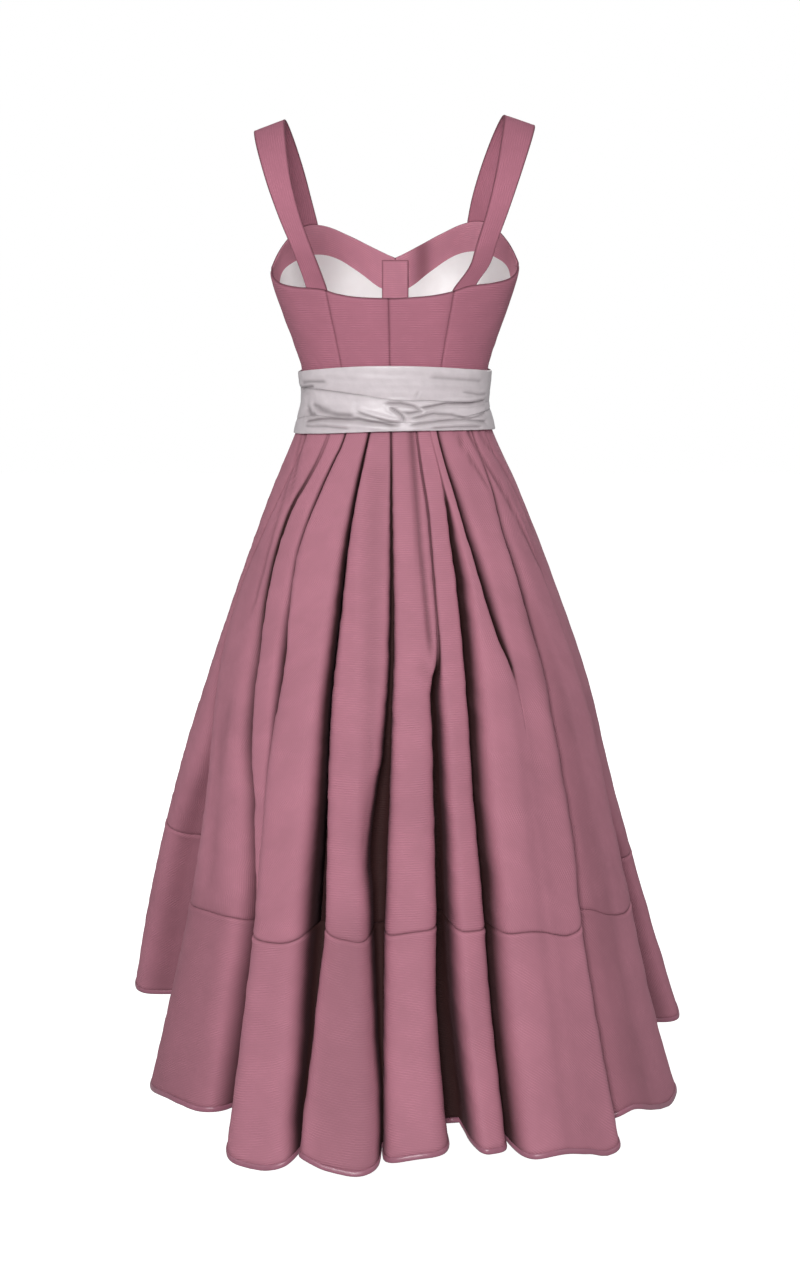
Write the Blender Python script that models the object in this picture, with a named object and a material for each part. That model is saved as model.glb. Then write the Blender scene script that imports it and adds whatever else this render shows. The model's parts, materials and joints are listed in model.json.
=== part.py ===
"""A sleeveless dirndl with a pleated midi skirt, filled out as if worn, in metres with +Z up.

The wearer's front faces -Y and the wearer's left is +X. The origin lies between the two shoulders,
at the height where the straps rest on them. Heights called h are measured up from the waist line.
Angles called phi go round the body in degrees: 0 is the centre back, 90 the wearer's left side,
180 the centre front and -90 the wearer's right side.
"""

import math

import bpy
import numpy as np

# ---------------------------------------------------------------- driving sizes
SHOULDER_H = 0.358  # from the waist line up to the underside of the straps
SEAM_GAP = 0.0003  # between two pieces that are sewn together
BODICE_CLOTH = 0.0020
SKIRT_CLOTH = 0.0018
LINING_CLOTH = 0.0012
STRAP_CLOTH = 0.0022
SATIN = 0.0016

WAIST_SEAM_H = -0.020
BINDING_DROP = 0.005  # height of the satin that binds the hem
CURVED_GAP = 0.0006  # between two edges that run through every fold: skirt and band, band and binding
BODY_ROUNDNESS = 2.25  # 2 is an ellipse, more is boxier
SKEW = 0.020  # the bodice sits about one degree lower on the wearer's left
SKEW_H = 0.150  # from this height up
CENTRE_BACK_SEAM = 2.0  # angles of the bodice's seams; the dress sits turned a little to the left
PRINCESS_SEAMS = {"left": 31.0, "right": -26.0}

PLACKET_HALF_WIDTH = 0.018
PLACKET_TOP_H = 0.186
PLACKET_ROWS = 7
PLACKET_COLUMNS = 4
FRONT_REACH = 0.147  # half the width of the front's curve where the placket lies
UNDERBUST_H = 0.084
UNDERBUST_RISE = 0.022  # towards the side, where it sets in after the first of these angles
UNDERBUST_FLAT, UNDERBUST_TURN = 40, 50
BACK_COLUMNS, SIDE_COLUMNS, BACK_ROWS = 4, 8, 5
FRONT_COLUMNS = 15
FRONT_ROWS = (3, 4, 3)  # from the waist to the cup, to the facing's edge and to the top

# Half sizes of the bodice, from the waist seam to above the straps' roots.
BODY_SECTIONS = (
    # h, half_width, back_depth, front_depth
    (-0.030, 0.1245, 0.0905, 0.0965),
    (0.000, 0.1228, 0.0895, 0.0965),
    (0.045, 0.1264, 0.0905, 0.0990),
    (0.080, 0.1370, 0.0940, 0.1035),
    (0.122, 0.1520, 0.1000, 0.1085),
    (0.163, 0.1650, 0.1045, 0.1115),
    (0.185, 0.1660, 0.1050, 0.1110),
    (0.240, 0.1560, 0.1040, 0.1060),
)

# The bodice's upper edge, and where the rose facing ends and the white lining starts inside the cups.
TOP_EDGE = (
    # phi, h
    (0, 0.1365),
    (15, 0.1390),
    (25, 0.1435),
    (34, 0.1500),
    (50, 0.1530),
    (65, 0.1575),
    (76, 0.1640),
    (84, 0.1715),
    (90, 0.1790),
    (98, 0.1880),
    (108, 0.2060),
    (120, 0.2250),
    (132, 0.2350),
    (146, 0.2330),
    (160, 0.2200),
    (170, 0.2060),
    (180, 0.1890),
)
FACING_EDGE = (
    # phi, h
    (90, 0.1500),
    (100, 0.1530),
    (112, 0.1750),
    (122, 0.1860),
    (135, 0.1960),
    (146, 0.1965),
    (156, 0.1880),
    (166, 0.1700),
    (174, 0.1500),
    (180, 0.1400),
)

# One cup's bulge on the wearer's left, the other being its mirror image.
CUP = {
    "x": 0.078,
    "h": 0.150,
    "reach_x": 0.072,
    "reach_up": 0.098,
    "reach_down": 0.070,
    "stand": 0.038,
    "fade": 0.25,  # cosine of the angle round from the side over which the bulge sets in
}

# Both long edges of a strap over the shoulder, between its two ends on the bodice's upper edge.
STRAP_PATH = (
    # inner_x, inner_y, inner_h, outer_x, outer_y, outer_h
    (0.0920, 0.0945, 0.1750, 0.1230, 0.0800, 0.1780),
    (0.1010, 0.0965, 0.2050, 0.1335, 0.0850, 0.2060),
    (0.1145, 0.0910, 0.2450, 0.1485, 0.0830, 0.2430),
    (0.1275, 0.0780, 0.2900, 0.1640, 0.0715, 0.2860),
    (0.1385, 0.0530, 0.3370, 0.1770, 0.0480, 0.3280),
    (0.1445, 0.0200, 0.3650, 0.1835, 0.0170, 0.3520),
    (0.1435, -0.0140, 0.3670, 0.1835, -0.0130, 0.3535),
    (0.1360, -0.0460, 0.3450, 0.1760, -0.0400, 0.3330),
    (0.1250, -0.0680, 0.3070, 0.1640, -0.0560, 0.2980),
    (0.1155, -0.0790, 0.2680, 0.1510, -0.0600, 0.2610),
)
STRAP_ROOT = {"left": (31.0, 43.5), "right": (-26.0, -39.0)}  # angles of its inner and outer edge behind
STRAP_TIP = {"left": (139.0, 117.0), "right": (-139.0, -117.0)}  # and where it meets the cup
STRAP_ROOT_LAP = 0.009  # how far a strap reaches down inside the back
STRAP_ROOT_RISE = 0.002  # how far it runs straight up before it leaves the back
STRAP_TIP_GAP = 0.0012  # between its tip and the cup's edge
STRAP_PIECES_LONG = 30
STRAP_PIECES_WIDE = 2

# Reach of the folds' crowns on each side, by share of the skirt's height from the waist seam down.
SKIRT_SECTIONS = (
    # share, left, right, back, front
    (0.000, 0.1285, 0.1280, 0.0925, 0.0975),
    (0.025, 0.1350, 0.1335, 0.0985, 0.1040),
    (0.120, 0.1690, 0.1720, 0.1445, 0.1440),
    (0.260, 0.2130, 0.2210, 0.2010, 0.1970),
    (0.420, 0.2600, 0.2710, 0.2610, 0.2520),
    (0.580, 0.3030, 0.3070, 0.2980, 0.2960),
    (0.800, 0.3510, 0.3640, 0.3520, 0.3480),
    (1.000, 0.3850, 0.4200, 0.4250, 0.4000),
)
ROUND_SHARE = 0.30  # share of the height where the skirt's section has become a plain ellipse

# Height of the hem, and of the band above it, round the skirt.
HEM_HEIGHTS = (
    # phi, h, band
    (-180, -0.866, 0.262),
    (-120, -0.868, 0.262),
    (-95, -0.884, 0.262),
    (-80, -0.896, 0.258),
    (-64, -0.906, 0.252),
    (-50, -0.893, 0.250),
    (-44, -0.898, 0.252),
    (-41, -0.917, 0.256),
    (-37, -0.912, 0.256),
    (-33, -0.896, 0.252),
    (-26, -0.887, 0.250),
    (-18, -0.891, 0.250),
    (-5, -0.890, 0.252),
    (6, -0.904, 0.253),
    (12, -0.900, 0.253),
    (17, -0.893, 0.253),
    (20, -0.905, 0.257),
    (26, -0.914, 0.258),
    (33, -0.910, 0.256),
    (37, -0.887, 0.240),
    (42, -0.884, 0.236),
    (50, -0.888, 0.238),
    (62, -0.904, 0.244),
    (72, -0.886, 0.256),
    (80, -0.864, 0.262),
    (91, -0.857, 0.262),
    (120, -0.860, 0.262),
    (180, -0.866, 0.262),
)

# Each row is a valley between two folds of the skirt. It gives the valley's angle at ANGLE_LEVELS, its
# depth at DEPTH_LEVELS and half its width at HALF_LEVELS, all shares of the skirt's height, then how
# far the fold after it stands out in the middle and at the hem, and that fold's columns.
ANGLE_LEVELS = (0.0, 0.12, 0.26, 0.42, 0.58, 0.80, 1.0)
DEPTH_LEVELS = (0.0, 0.26, 0.54, 1.0)
HALF_LEVELS = (0.0, 0.26, 0.42, 0.60, 1.0)
STAND_LEVELS = (0.0, 0.54, 1.0)
FOLDS = (
    (
        (-174, -173.5, -173, -172, -171, -171.5, -172),
        (0.004, 0.014, 0.034, 0.058),
        (0.001, 0.0015, 0.002, 0.003, 0.006),
        (0.006, 0.010),
        8,
    ),
    (
        (-156, -155, -154, -153, -152, -151.5, -151),
        (0.004, 0.012, 0.036, 0.062),
        (0.001, 0.0015, 0.003, 0.005, 0.010),
        (-0.004, -0.008),
        8,
    ),
    (
        (-139, -138.5, -138, -137, -136, -134.5, -133),
        (0.004, 0.016, 0.040, 0.070),
        (0.001, 0.0015, 0.002, 0.003, 0.006),
        (0.010, 0.012),
        8,
    ),
    (
        (-121, -120, -119, -117.5, -116, -115.5, -115),
        (0.004, 0.014, 0.036, 0.066),
        (0.001, 0.0015, 0.004, 0.007, 0.014),
        (0.000, -0.004),
        8,
    ),
    (
        (-98, -99, -100, -99, -98, -98, -98),
        (0.004, 0.012, 0.034, 0.060),
        (0.001, 0.0015, 0.003, 0.005, 0.008),
        (0.000, -0.002),
        9,
    ),
    (
        (-66, -67.5, -68, -69, -70.8, -76, -77),
        (0.004, 0.014, 0.041, 0.070),
        (0.001, 0.003, 0.006, 0.020, 0.074),
        (0.020, 0.014),
        10,
    ),
    (
        (-50, -48, -48.6, -45.6, -44.4, -41.5, -40.8),
        (0.004, 0.038, 0.051, 0.062),
        (0.001, 0.0055, 0.0025, 0.002, 0.003),
        (0.030, 0.038),
        6,
    ),
    (
        (-22.5, -27, -32.3, -34.3, -33, -32, -31),
        (0.005, 0.033, 0.001, 0.000),
        (0.001, 0.0045, 0.001, 0.001, 0.001),
        (0.030, 0.038),
        6,
    ),
    (
        (-17.5, -21.4, -23.7, -21.9, -21.1, -20.4, -20.3),
        (0.001, 0.038, 0.049, 0.060),
        (0.001, 0.0038, 0.0028, 0.0026, 0.002),
        (0.000, 0.000),
        8,
    ),
    (
        (-10.3, -12.8, -13.8, -12.1, -12, -11.1, -12.2),
        (0.004, 0.006, 0.053, 0.084),
        (0.001, 0.001, 0.005, 0.0076, 0.015),
        (-0.004, -0.004),
        9,
    ),
    (
        (1.5, 1.2, 1, 1.9, 4.2, 3.5, 2.5),
        (0.005, 0.025, 0.055, 0.056),
        (0.001, 0.002, 0.0046, 0.0128, 0.0015),
        (-0.004, 0.016),
        9,
    ),
    (
        (11.6, 17.3, 20.2, 20.2, 18.6, 18.1, 18.4),
        (0.005, 0.024, 0.049, 0.058),
        (0.001, 0.002, 0.0022, 0.0063, 0.0015),
        (0.020, 0.022),
        8,
    ),
    (
        (25.8, 37, 39.8, 36.2, 33.8, 33.2, 34.4),
        (0.005, 0.024, 0.026, 0.070),
        (0.001, 0.002, 0.0032, 0.0015, 0.002),
        (0.000, -0.045),
        5,
    ),
    (
        (37.5, 50.5, 54.2, 48.2, 39, 35.2, 37.2),
        (0.003, 0.018, 0.052, 0.074),
        (0.0015, 0.006, 0.0088, 0.004, 0.0025),
        (0.000, 0.000),
        9,
    ),
    (
        (60, 68, 80, 74.5, 67.8, 71.5, 76),
        (0.004, 0.008, 0.041, 0.075),
        (0.001, 0.003, 0.009, 0.040, 0.080),
        (0.000, 0.002),
        8,
    ),
    (
        (88, 93, 99, 104, 108.5, 110.5, 112),
        (0.004, 0.014, 0.036, 0.062),
        (0.001, 0.002, 0.003, 0.006, 0.010),
        (0.004, 0.006),
        8,
    ),
    (
        (107, 111.5, 116, 120.5, 124.5, 127, 129),
        (0.004, 0.016, 0.040, 0.070),
        (0.001, 0.0015, 0.003, 0.004, 0.006),
        (-0.004, -0.008),
        8,
    ),
    (
        (127, 130.5, 134, 138, 141.5, 144.5, 147),
        (0.004, 0.014, 0.036, 0.060),
        (0.001, 0.0015, 0.003, 0.005, 0.010),
        (0.006, 0.010),
        8,
    ),
    (
        (147, 150, 153, 156, 158.8, 162.5, 166),
        (0.004, 0.014, 0.038, 0.066),
        (0.001, 0.0015, 0.003, 0.004, 0.006),
        (0.000, 0.000),
        8,
    ),
)
THIN_VALLEY = 0.0010  # half the width of a closed valley
FOLD_SIDE_POWER = 0.62  # below 1 gives a fold steeper sides
FOLD_CROWN_POWER = 0.52  # below 1 gives a fold a fuller crown
UPPER_ROWS = (0.0, 0.035, 0.10, 0.20, 0.34, 0.50, 0.66, 0.83, 1.0)
BAND_ROWS = (0.0, 0.33, 0.67, 1.0)
CENTRE_BACK_FOLDS = (8, 11)  # the valleys, by row of FOLDS, where the skirt's panels are seamed
FRONT_FOLDS = (16, 2)
BAND_FOLDS = (5, 15)  # the valleys where the hem band's two lengths meet, at the sides

# The sash's wraps: heights of its upper edge, the two laps where one stretch lies on the next, and
# its lower edge, round the body.
SASH_EDGES = (
    # phi, top, upper_lap, lower_lap, bottom
    (-180, 0.0480, 0.0180, -0.0120, -0.0380),
    (-135, 0.0460, 0.0120, -0.0100, -0.0390),
    (-90, 0.0400, 0.0020, -0.0080, -0.0380),
    (-50, 0.0450, 0.0030, -0.0130, -0.0340),
    (-20, 0.0495, 0.0080, -0.0200, -0.0325),
    (0, 0.0510, 0.0090, -0.0210, -0.0330),
    (20, 0.0500, 0.0160, -0.0190, -0.0350),
    (50, 0.0450, 0.0210, -0.0140, -0.0390),
    (90, 0.0390, 0.0200, -0.0230, -0.0430),
    (135, 0.0450, 0.0170, -0.0160, -0.0400),
    (180, 0.0480, 0.0180, -0.0120, -0.0380),
)
SASH_COLUMNS = 60
SASH_STRETCHES = {
    # the columns of its lower and upper edge, how far it stands out, and its rows
    "sash_upper": (2, 1, 0.0, 3),
    "sash_middle": (3, 2, 0.0010, 3),
    "sash_lower": (4, 3, 0.0, 2),
}

# The sash's inner face, clear of the waist seam and of the pleats' heads.
SASH_SECTIONS = (
    # h, half_width, back_depth, front_depth
    (-0.045, 0.1370, 0.1020, 0.1075),
    (-0.020, 0.1298, 0.0965, 0.1015),
    (0.000, 0.1250, 0.0930, 0.0990),
    (0.030, 0.1268, 0.0935, 0.1000),
    (0.052, 0.1300, 0.0950, 0.1030),
)

ROSE = (0.440, 0.175, 0.225)
WHITE_LINING = (0.90, 0.84, 0.82)
SILVER_SATIN = (0.68, 0.62, 0.65)
ROSE_SATIN = (0.46, 0.20, 0.25)

ROUND_STEP, UP_STEP = 1.5, 0.003  # degrees and metres over which a surface's slope is taken
SHARP_ANGLE = 50  # degrees between two faces that meet in a sharp edge


# ---------------------------------------------------------------- curves
def read_table(table, column, at):
    """A smooth curve through one column of a table whose first column rises."""
    keys = [row[0] for row in table]
    values = [row[column] for row in table]
    return smooth_value(keys, values, at)


def smooth_value(keys, values, at):
    """Cubic Hermite value at a place among rising keys, held level past both ends."""
    if at <= keys[0]:
        return values[0]
    if at >= keys[-1]:
        return values[-1]
    i = max(k for k in range(len(keys) - 1) if keys[k] <= at)
    span = keys[i + 1] - keys[i]
    t = (at - keys[i]) / span

    def slope(k):
        low, high = max(k - 1, 0), min(k + 1, len(keys) - 1)
        return (values[high] - values[low]) / (keys[high] - keys[low])

    return (
        values[i] * (2 * t**3 - 3 * t**2 + 1)
        + slope(i) * span * (t**3 - 2 * t**2 + t)
        + values[i + 1] * (3 * t**2 - 2 * t**3)
        + slope(i + 1) * span * (t**3 - t**2)
    )


def power_of(value, power):
    """A signed power, which keeps the sign of a sine or a cosine."""
    return math.copysign(abs(value) ** power, value)


def smooth_step(t):
    t = min(max(t, 0.0), 1.0)
    return t * t * (3 - 2 * t)


# ---------------------------------------------------------------- the figure under the bodice
def cup_stand(x, h):
    """How far a cup stands out of the front at a place."""
    rise = h - CUP["h"]
    reach = CUP["reach_up"] if rise > 0 else CUP["reach_down"]
    away = math.hypot((abs(x) - CUP["x"]) / CUP["reach_x"], rise / reach)
    return CUP["stand"] * math.cos(0.5 * math.pi * away) ** 2 if away < 1 else 0.0


def body_surface(phi, h):
    """The outside of the bodice at an angle round the body and a height."""
    angle = math.radians(phi)
    half_width = read_table(BODY_SECTIONS, 1, h)
    depth = read_table(BODY_SECTIONS, 2 if math.cos(angle) > 0 else 3, h)
    x = half_width * power_of(math.sin(angle), 2 / BODY_ROUNDNESS)
    y = depth * power_of(math.cos(angle), 2 / BODY_ROUNDNESS)
    if y < 0:
        y -= cup_stand(x, h) * smooth_step(-math.cos(angle) / CUP["fade"])
    return np.array([x, y, h - SKEW * x * smooth_step(h / SKEW_H)])


def body_point(phi, h, out=0.0):
    """A point that lies a distance outside the bodice's outer face, square to it."""
    along = body_surface(phi + ROUND_STEP, h) - body_surface(phi - ROUND_STEP, h)
    up = body_surface(phi, h + UP_STEP) - body_surface(phi, h - UP_STEP)
    normal = np.cross(up, along)
    normal /= np.linalg.norm(normal)
    if normal[0] * math.sin(math.radians(phi)) + normal[1] * math.cos(math.radians(phi)) < 0:
        normal = -normal
    return body_surface(phi, h) + out * normal


def top_edge(phi):
    return read_table(TOP_EDGE, 1, abs(phi))


def facing_edge(phi):
    return read_table(FACING_EDGE, 1, abs(phi))


def underbust(phi):
    """The seam under the cups, which rises a little towards the side."""
    return UNDERBUST_H + UNDERBUST_RISE * smooth_step((180 - abs(phi) - UNDERBUST_FLAT) / UNDERBUST_TURN)


# ---------------------------------------------------------------- making solids
def to_object(name, points, faces, material):
    """One named solid with its material, from points measured from the waist line."""
    mesh = bpy.data.meshes.new(name)
    lift = np.array([0.0, 0.0, -SHOULDER_H])
    mesh.from_pydata([tuple(p + lift) for p in points], [], faces)
    mesh.validate()
    obj = bpy.data.objects.new(name, mesh)
    obj.data.materials.append(material)
    bpy.context.scene.collection.objects.link(obj)
    mesh.shade_smooth()
    mesh.set_sharp_from_angle(angle=math.radians(SHARP_ANGLE))
    return obj


def wall(name, outer, inner, material, closed=False):
    """A cloth wall between two grids of rows, which go round a ring where it is closed."""
    rows, columns = len(outer), len(outer[0])
    points = [p for row in outer for p in row] + [p for row in inner for p in row]
    under = rows * columns
    faces = []
    for r in range(rows - 1):
        for c in range(columns if closed else columns - 1):
            a, b = r * columns + c, r * columns + (c + 1) % columns
            for triangle in ((a, b, b + columns), (a, b + columns, a + columns)):
                faces.append(triangle)
                faces.append(tuple(under + k for k in reversed(triangle)))
    for c in range(columns if closed else columns - 1):
        n = (c + 1) % columns
        top = (rows - 1) * columns
        faces.append((n, c, under + c, under + n))
        faces.append((top + c, top + n, under + top + n, under + top + c))
    if not closed:
        for r in range(rows - 1):
            a, b = r * columns, (r + 1) * columns
            faces.append((a, b, under + b, under + a))
            last = columns - 1
            faces.append((b + last, a + last, under + a + last, under + b + last))
    return to_object(name, points, faces, material)


def panel(name, phis, edges, rows, out, thickness, material):
    """A piece of the bodice at rising angles, from its lowest edge through any others to its highest.

    Each edge gives a height at an angle, and rows says how many rows lie between one and the next.
    """
    grids = []
    for depth in (out, out - thickness):
        grid = []
        for low, high, steps in zip(edges, edges[1:], rows):
            for step in range(0 if not grid else 1, steps + 1):
                heights = [low(phi) + (high(phi) - low(phi)) * step / steps for phi in phis]
                grid.append([body_point(phi, h, depth) for phi, h in zip(phis, heights)][::-1])
        grids.append(grid)
    return wall(name, grids[0], grids[1], material)


def seam_angle(h=0.1):
    """A little over half a seam's gap as an angle round the bodice."""
    return math.degrees(0.625 * SEAM_GAP / read_table(BODY_SECTIONS, 2, h))


# ---------------------------------------------------------------- the skirt's folds
def skirt_ring_point(phi, share):
    """The surface over the folds' crowns at an angle and a share of the skirt's height."""
    angle = math.radians(phi)
    across = read_table(SKIRT_SECTIONS, 1 if math.sin(angle) > 0 else 2, share)
    along = read_table(SKIRT_SECTIONS, 3 if math.cos(angle) > 0 else 4, share)
    roundness = BODY_ROUNDNESS + (2 - BODY_ROUNDNESS) * smooth_step(share / ROUND_SHARE)
    x = across * power_of(math.sin(angle), 2 / roundness)
    y = along * power_of(math.cos(angle), 2 / roundness)
    return np.array([x, y])


def hem_value(column, phi):
    """The height of the hem, or of the band above it, at an angle."""
    return read_table(HEM_HEIGHTS, column, (phi + 180) % 360 - 180)


def skirt_h(phi, share):
    """The height above the waist line at a share of the skirt's height."""
    return WAIST_SEAM_H + (hem_value(1, phi) - WAIST_SEAM_H) * share


def band_share(fold, place):
    """The share of the skirt's height where the hem band starts, at a place in a fold."""
    start, end = FOLDS[fold][0][-1], FOLDS[(fold + 1) % len(FOLDS)][0][-1]
    phi = start + (end - start) % 360 * place
    hem = hem_value(1, phi)
    return (hem + hem_value(2, phi) - WAIST_SEAM_H) / (hem - WAIST_SEAM_H)


def fold_values(row, share):
    """A valley's angle, depth and half width, and how far the fold after it stands out."""
    angles, depths, halves, stands, _ = row
    angle = smooth_value(ANGLE_LEVELS, angles, share)
    depth = max(0.0, smooth_value(DEPTH_LEVELS, depths, share))
    half = max(THIN_VALLEY, smooth_value(HALF_LEVELS, halves, share))
    return angle, depth, half, smooth_value(STAND_LEVELS, (0.0, *stands), share)


def fold_columns():
    """Each column of the skirt as its fold and its place in it, from one foot of the fold to the other."""
    return [(k, c / row[-1]) for k, row in enumerate(FOLDS) for c in range(row[-1] + 1)]


def skirt_point(fold, place, share):
    """A point of the skirt's outer face in a fold, from the foot in the valley before it to the next."""
    earlier, row, later = [FOLDS[(fold + step) % len(FOLDS)] for step in (-1, 0, 1)]
    before, after = fold_values(row, share), fold_values(later, share)
    stand, stand_before = before[3], fold_values(earlier, share)[3]
    after_angle = after[0] + (360 if after[0] < before[0] else 0)
    turn = math.pi * place
    sideways = -power_of(math.cos(turn), FOLD_SIDE_POWER)
    crown = max(0.0, math.sin(turn)) ** FOLD_CROWN_POWER
    reach = float(np.linalg.norm(skirt_ring_point(0.5 * (before[0] + after_angle), share)))
    start = before[0] + math.degrees(before[2] / reach)
    end = after_angle - math.degrees(after[2] / reach)
    across = 0.5 * (1 + sideways)
    phi = start + (end - start) * across
    foot_before = 0.5 * (stand + stand_before) - before[1]
    foot_after = 0.5 * (stand + after[3]) - after[1]
    foot = foot_before + (foot_after - foot_before) * across
    ring = skirt_ring_point(phi, share)
    flat = ring * (1 + (foot + (stand - foot) * crown) / float(np.linalg.norm(ring)))
    return np.array([flat[0], flat[1], skirt_h(phi, share)])


def grid_normals(grid):
    """A unit vector out of a closed ring at each point of its rows, square to the cloth on both sides."""
    points = np.array(grid)
    down = np.gradient(points, axis=0)
    ahead = np.roll(points, -1, axis=1) - points
    behind = points - np.roll(points, 1, axis=1)
    normals = np.cross(ahead / np.linalg.norm(ahead, axis=2, keepdims=True), down)
    normals += np.cross(behind / np.linalg.norm(behind, axis=2, keepdims=True), down)
    return normals / np.linalg.norm(normals, axis=2, keepdims=True)


def skirt_rows(columns):
    """The outer face as rows of points from the waist seam to the hem; one row is the band seam."""
    rows = []
    for part in UPPER_ROWS:
        rows.append([skirt_point(k, place, part * band_share(k, place)) for k, place in columns])
    for part in BAND_ROWS[1:]:
        row = []
        for k, place in columns:
            start = band_share(k, place)
            row.append(skirt_point(k, place, start + part * (1 - start)))
        rows.append(row)
    return rows


def nudged(row, neighbour, distance):
    """A row moved a short way towards its neighbour, to leave a seam's gap."""
    moved = []
    for p, q in zip(row, neighbour):
        way = q - p
        moved.append(p + way * distance / np.linalg.norm(way))
    return moved


def cut_columns(grid, start, end, count):
    """The columns of a ring from one to another, with half a seam's gap taken off both ends."""
    picked = [(start + i) % count for i in range((end - start) % count + 1)]
    piece = [[row[c] for c in picked] for row in grid]
    for row in piece:
        first = row[1] - row[0]
        last = row[-2] - row[-1]
        row[0] = row[0] + first * (0.5 * SEAM_GAP / np.linalg.norm(first))
        row[-1] = row[-1] + last * (0.5 * SEAM_GAP / np.linalg.norm(last))
    return piece


def make_skirt(rose, rose_satin):
    """The pleated panels, the hem band and the satin binding, all cut from one ring of folds."""
    columns = fold_columns()
    count = len(columns)
    outer = skirt_rows(columns)
    normals = grid_normals(outer)
    inner = [[p - n * SKIRT_CLOTH for p, n in zip(row, line)] for row, line in zip(outer, normals)]
    outer, inner = [[list(row) for row in grid] for grid in (outer, inner)]
    seam_row = len(UPPER_ROWS) - 1
    foot = {k: columns.index((k, 0.0)) for k in range(len(FOLDS))}

    def pieces(first_row, last_row):
        """Both faces between two rows, with the gap of a seam at each edge that is sewn."""
        faces = []
        for grid in (outer, inner):
            part = [list(row) for row in grid[first_row : last_row + 1]]
            if first_row == seam_row:
                part[0] = nudged(part[0], part[1], 0.5 * CURVED_GAP)
            if last_row == seam_row:
                part[-1] = nudged(part[-1], part[-2], 0.5 * CURVED_GAP)
            faces.append(part)
        return faces

    upper_outer, upper_inner = pieces(0, seam_row)
    band_outer, band_inner = pieces(seam_row, len(outer) - 1)
    right, left = CENTRE_BACK_FOLDS
    front_left, front_right = FRONT_FOLDS
    cuts = {
        "skirt_back": (foot[right], foot[left]),
        "skirt_left": (foot[left], foot[front_left]),
        "skirt_front": (foot[front_left], foot[front_right]),
        "skirt_right": (foot[front_right], foot[right]),
    }
    for name, (start, end) in cuts.items():
        faces = [cut_columns(grid, start, end, count) for grid in (upper_outer, upper_inner)]
        wall(name, faces[0], faces[1], rose)
    side_right, side_left = BAND_FOLDS
    cuts = {
        "hem_band_back": (foot[side_right], foot[side_left]),
        "hem_band_front": (foot[side_left], foot[side_right]),
    }
    for name, (start, end) in cuts.items():
        faces = [cut_columns(grid, start, end, count) for grid in (band_outer, band_inner)]
        wall(name, faces[0], faces[1], rose)
    make_binding(outer[-1], inner[-1], rose_satin)


def make_binding(hem_outer, hem_inner, satin):
    """The strip of satin that wraps the hem's lower edge, one ring below the band."""
    gap = np.array([0.0, 0.0, -CURVED_GAP])
    drop = np.array([0.0, 0.0, -BINDING_DROP])
    outer = [[p + gap for p in hem_outer], [p + gap + drop for p in hem_outer]]
    inner = [[p + gap for p in hem_inner], [p + gap + drop for p in hem_inner]]
    wall("hem_binding", outer, inner, satin, closed=True)


# ---------------------------------------------------------------- the bodice
def raised(edge, by):
    """An edge moved up by a distance, such as half a seam's gap."""
    return lambda phi: edge(phi) + by


def waist_edge(phi):
    return WAIST_SEAM_H + SEAM_GAP


def make_bodice(rose, white):
    """Back panels, side backs, front panels, cups, and the facing, lining and placket inside the front."""
    gap = seam_angle()
    left, right = PRINCESS_SEAMS["left"], PRINCESS_SEAMS["right"]
    backs = {
        "bodice_back_left": (CENTRE_BACK_SEAM, left, BACK_COLUMNS),
        "bodice_back_right": (right, CENTRE_BACK_SEAM, BACK_COLUMNS),
        "bodice_side_left": (left, 90, SIDE_COLUMNS),
        "bodice_side_right": (-90, right, SIDE_COLUMNS),
    }
    for name, (start, end, columns) in backs.items():
        phis = np.linspace(start + gap, end - gap, columns + 1)
        panel(name, phis, (waist_edge, top_edge), (BACK_ROWS,), 0.0, BODICE_CLOTH, rose)

    inside = -BODICE_CLOTH - SEAM_GAP
    half = 0.5 * SEAM_GAP
    below, above = raised(underbust, -half), raised(underbust, half)
    for side, start, end in (("left", 90, 180), ("right", -180, -90)):
        phis = np.linspace(start + gap, end - gap, FRONT_COLUMNS + 1)
        panel("bodice_front_" + side, phis, (waist_edge, below), FRONT_ROWS[:1], 0.0, BODICE_CLOTH, rose)
        cup_edges = (above, facing_edge, top_edge)
        panel("cup_" + side, phis, cup_edges, FRONT_ROWS[1:], 0.0, BODICE_CLOTH, rose)
        lining_edges = (waist_edge, underbust, raised(facing_edge, -half))
        panel("lining_" + side, phis, lining_edges, FRONT_ROWS[:2], inside, LINING_CLOTH, white)
        facing_edges = (raised(facing_edge, half), top_edge)
        panel("facing_" + side, phis, facing_edges, FRONT_ROWS[2:], inside, LINING_CLOTH, rose)
    make_placket(inside - LINING_CLOTH - SEAM_GAP, rose)


def make_placket(out, rose):
    """The straight strip behind the centre front closing, a flat wall clear of the lining."""
    heights = np.linspace(WAIST_SEAM_H + SEAM_GAP, PLACKET_TOP_H, PLACKET_ROWS + 1)
    across = np.linspace(PLACKET_HALF_WIDTH, -PLACKET_HALF_WIDTH, PLACKET_COLUMNS + 1)
    grids = []
    for depth in (0.0, -LINING_CLOTH):
        grid = []
        for h in heights:
            front = [body_point(180 - math.degrees(math.asin(x / FRONT_REACH)), h, out) for x in across]
            nearest = max(p[1] for p in front)
            grid.append([np.array([x, nearest - depth, h]) for x in across])
        grids.append(grid)
    wall("front_placket", [row[::-1] for row in grids[0]], [row[::-1] for row in grids[1]], rose)


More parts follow.
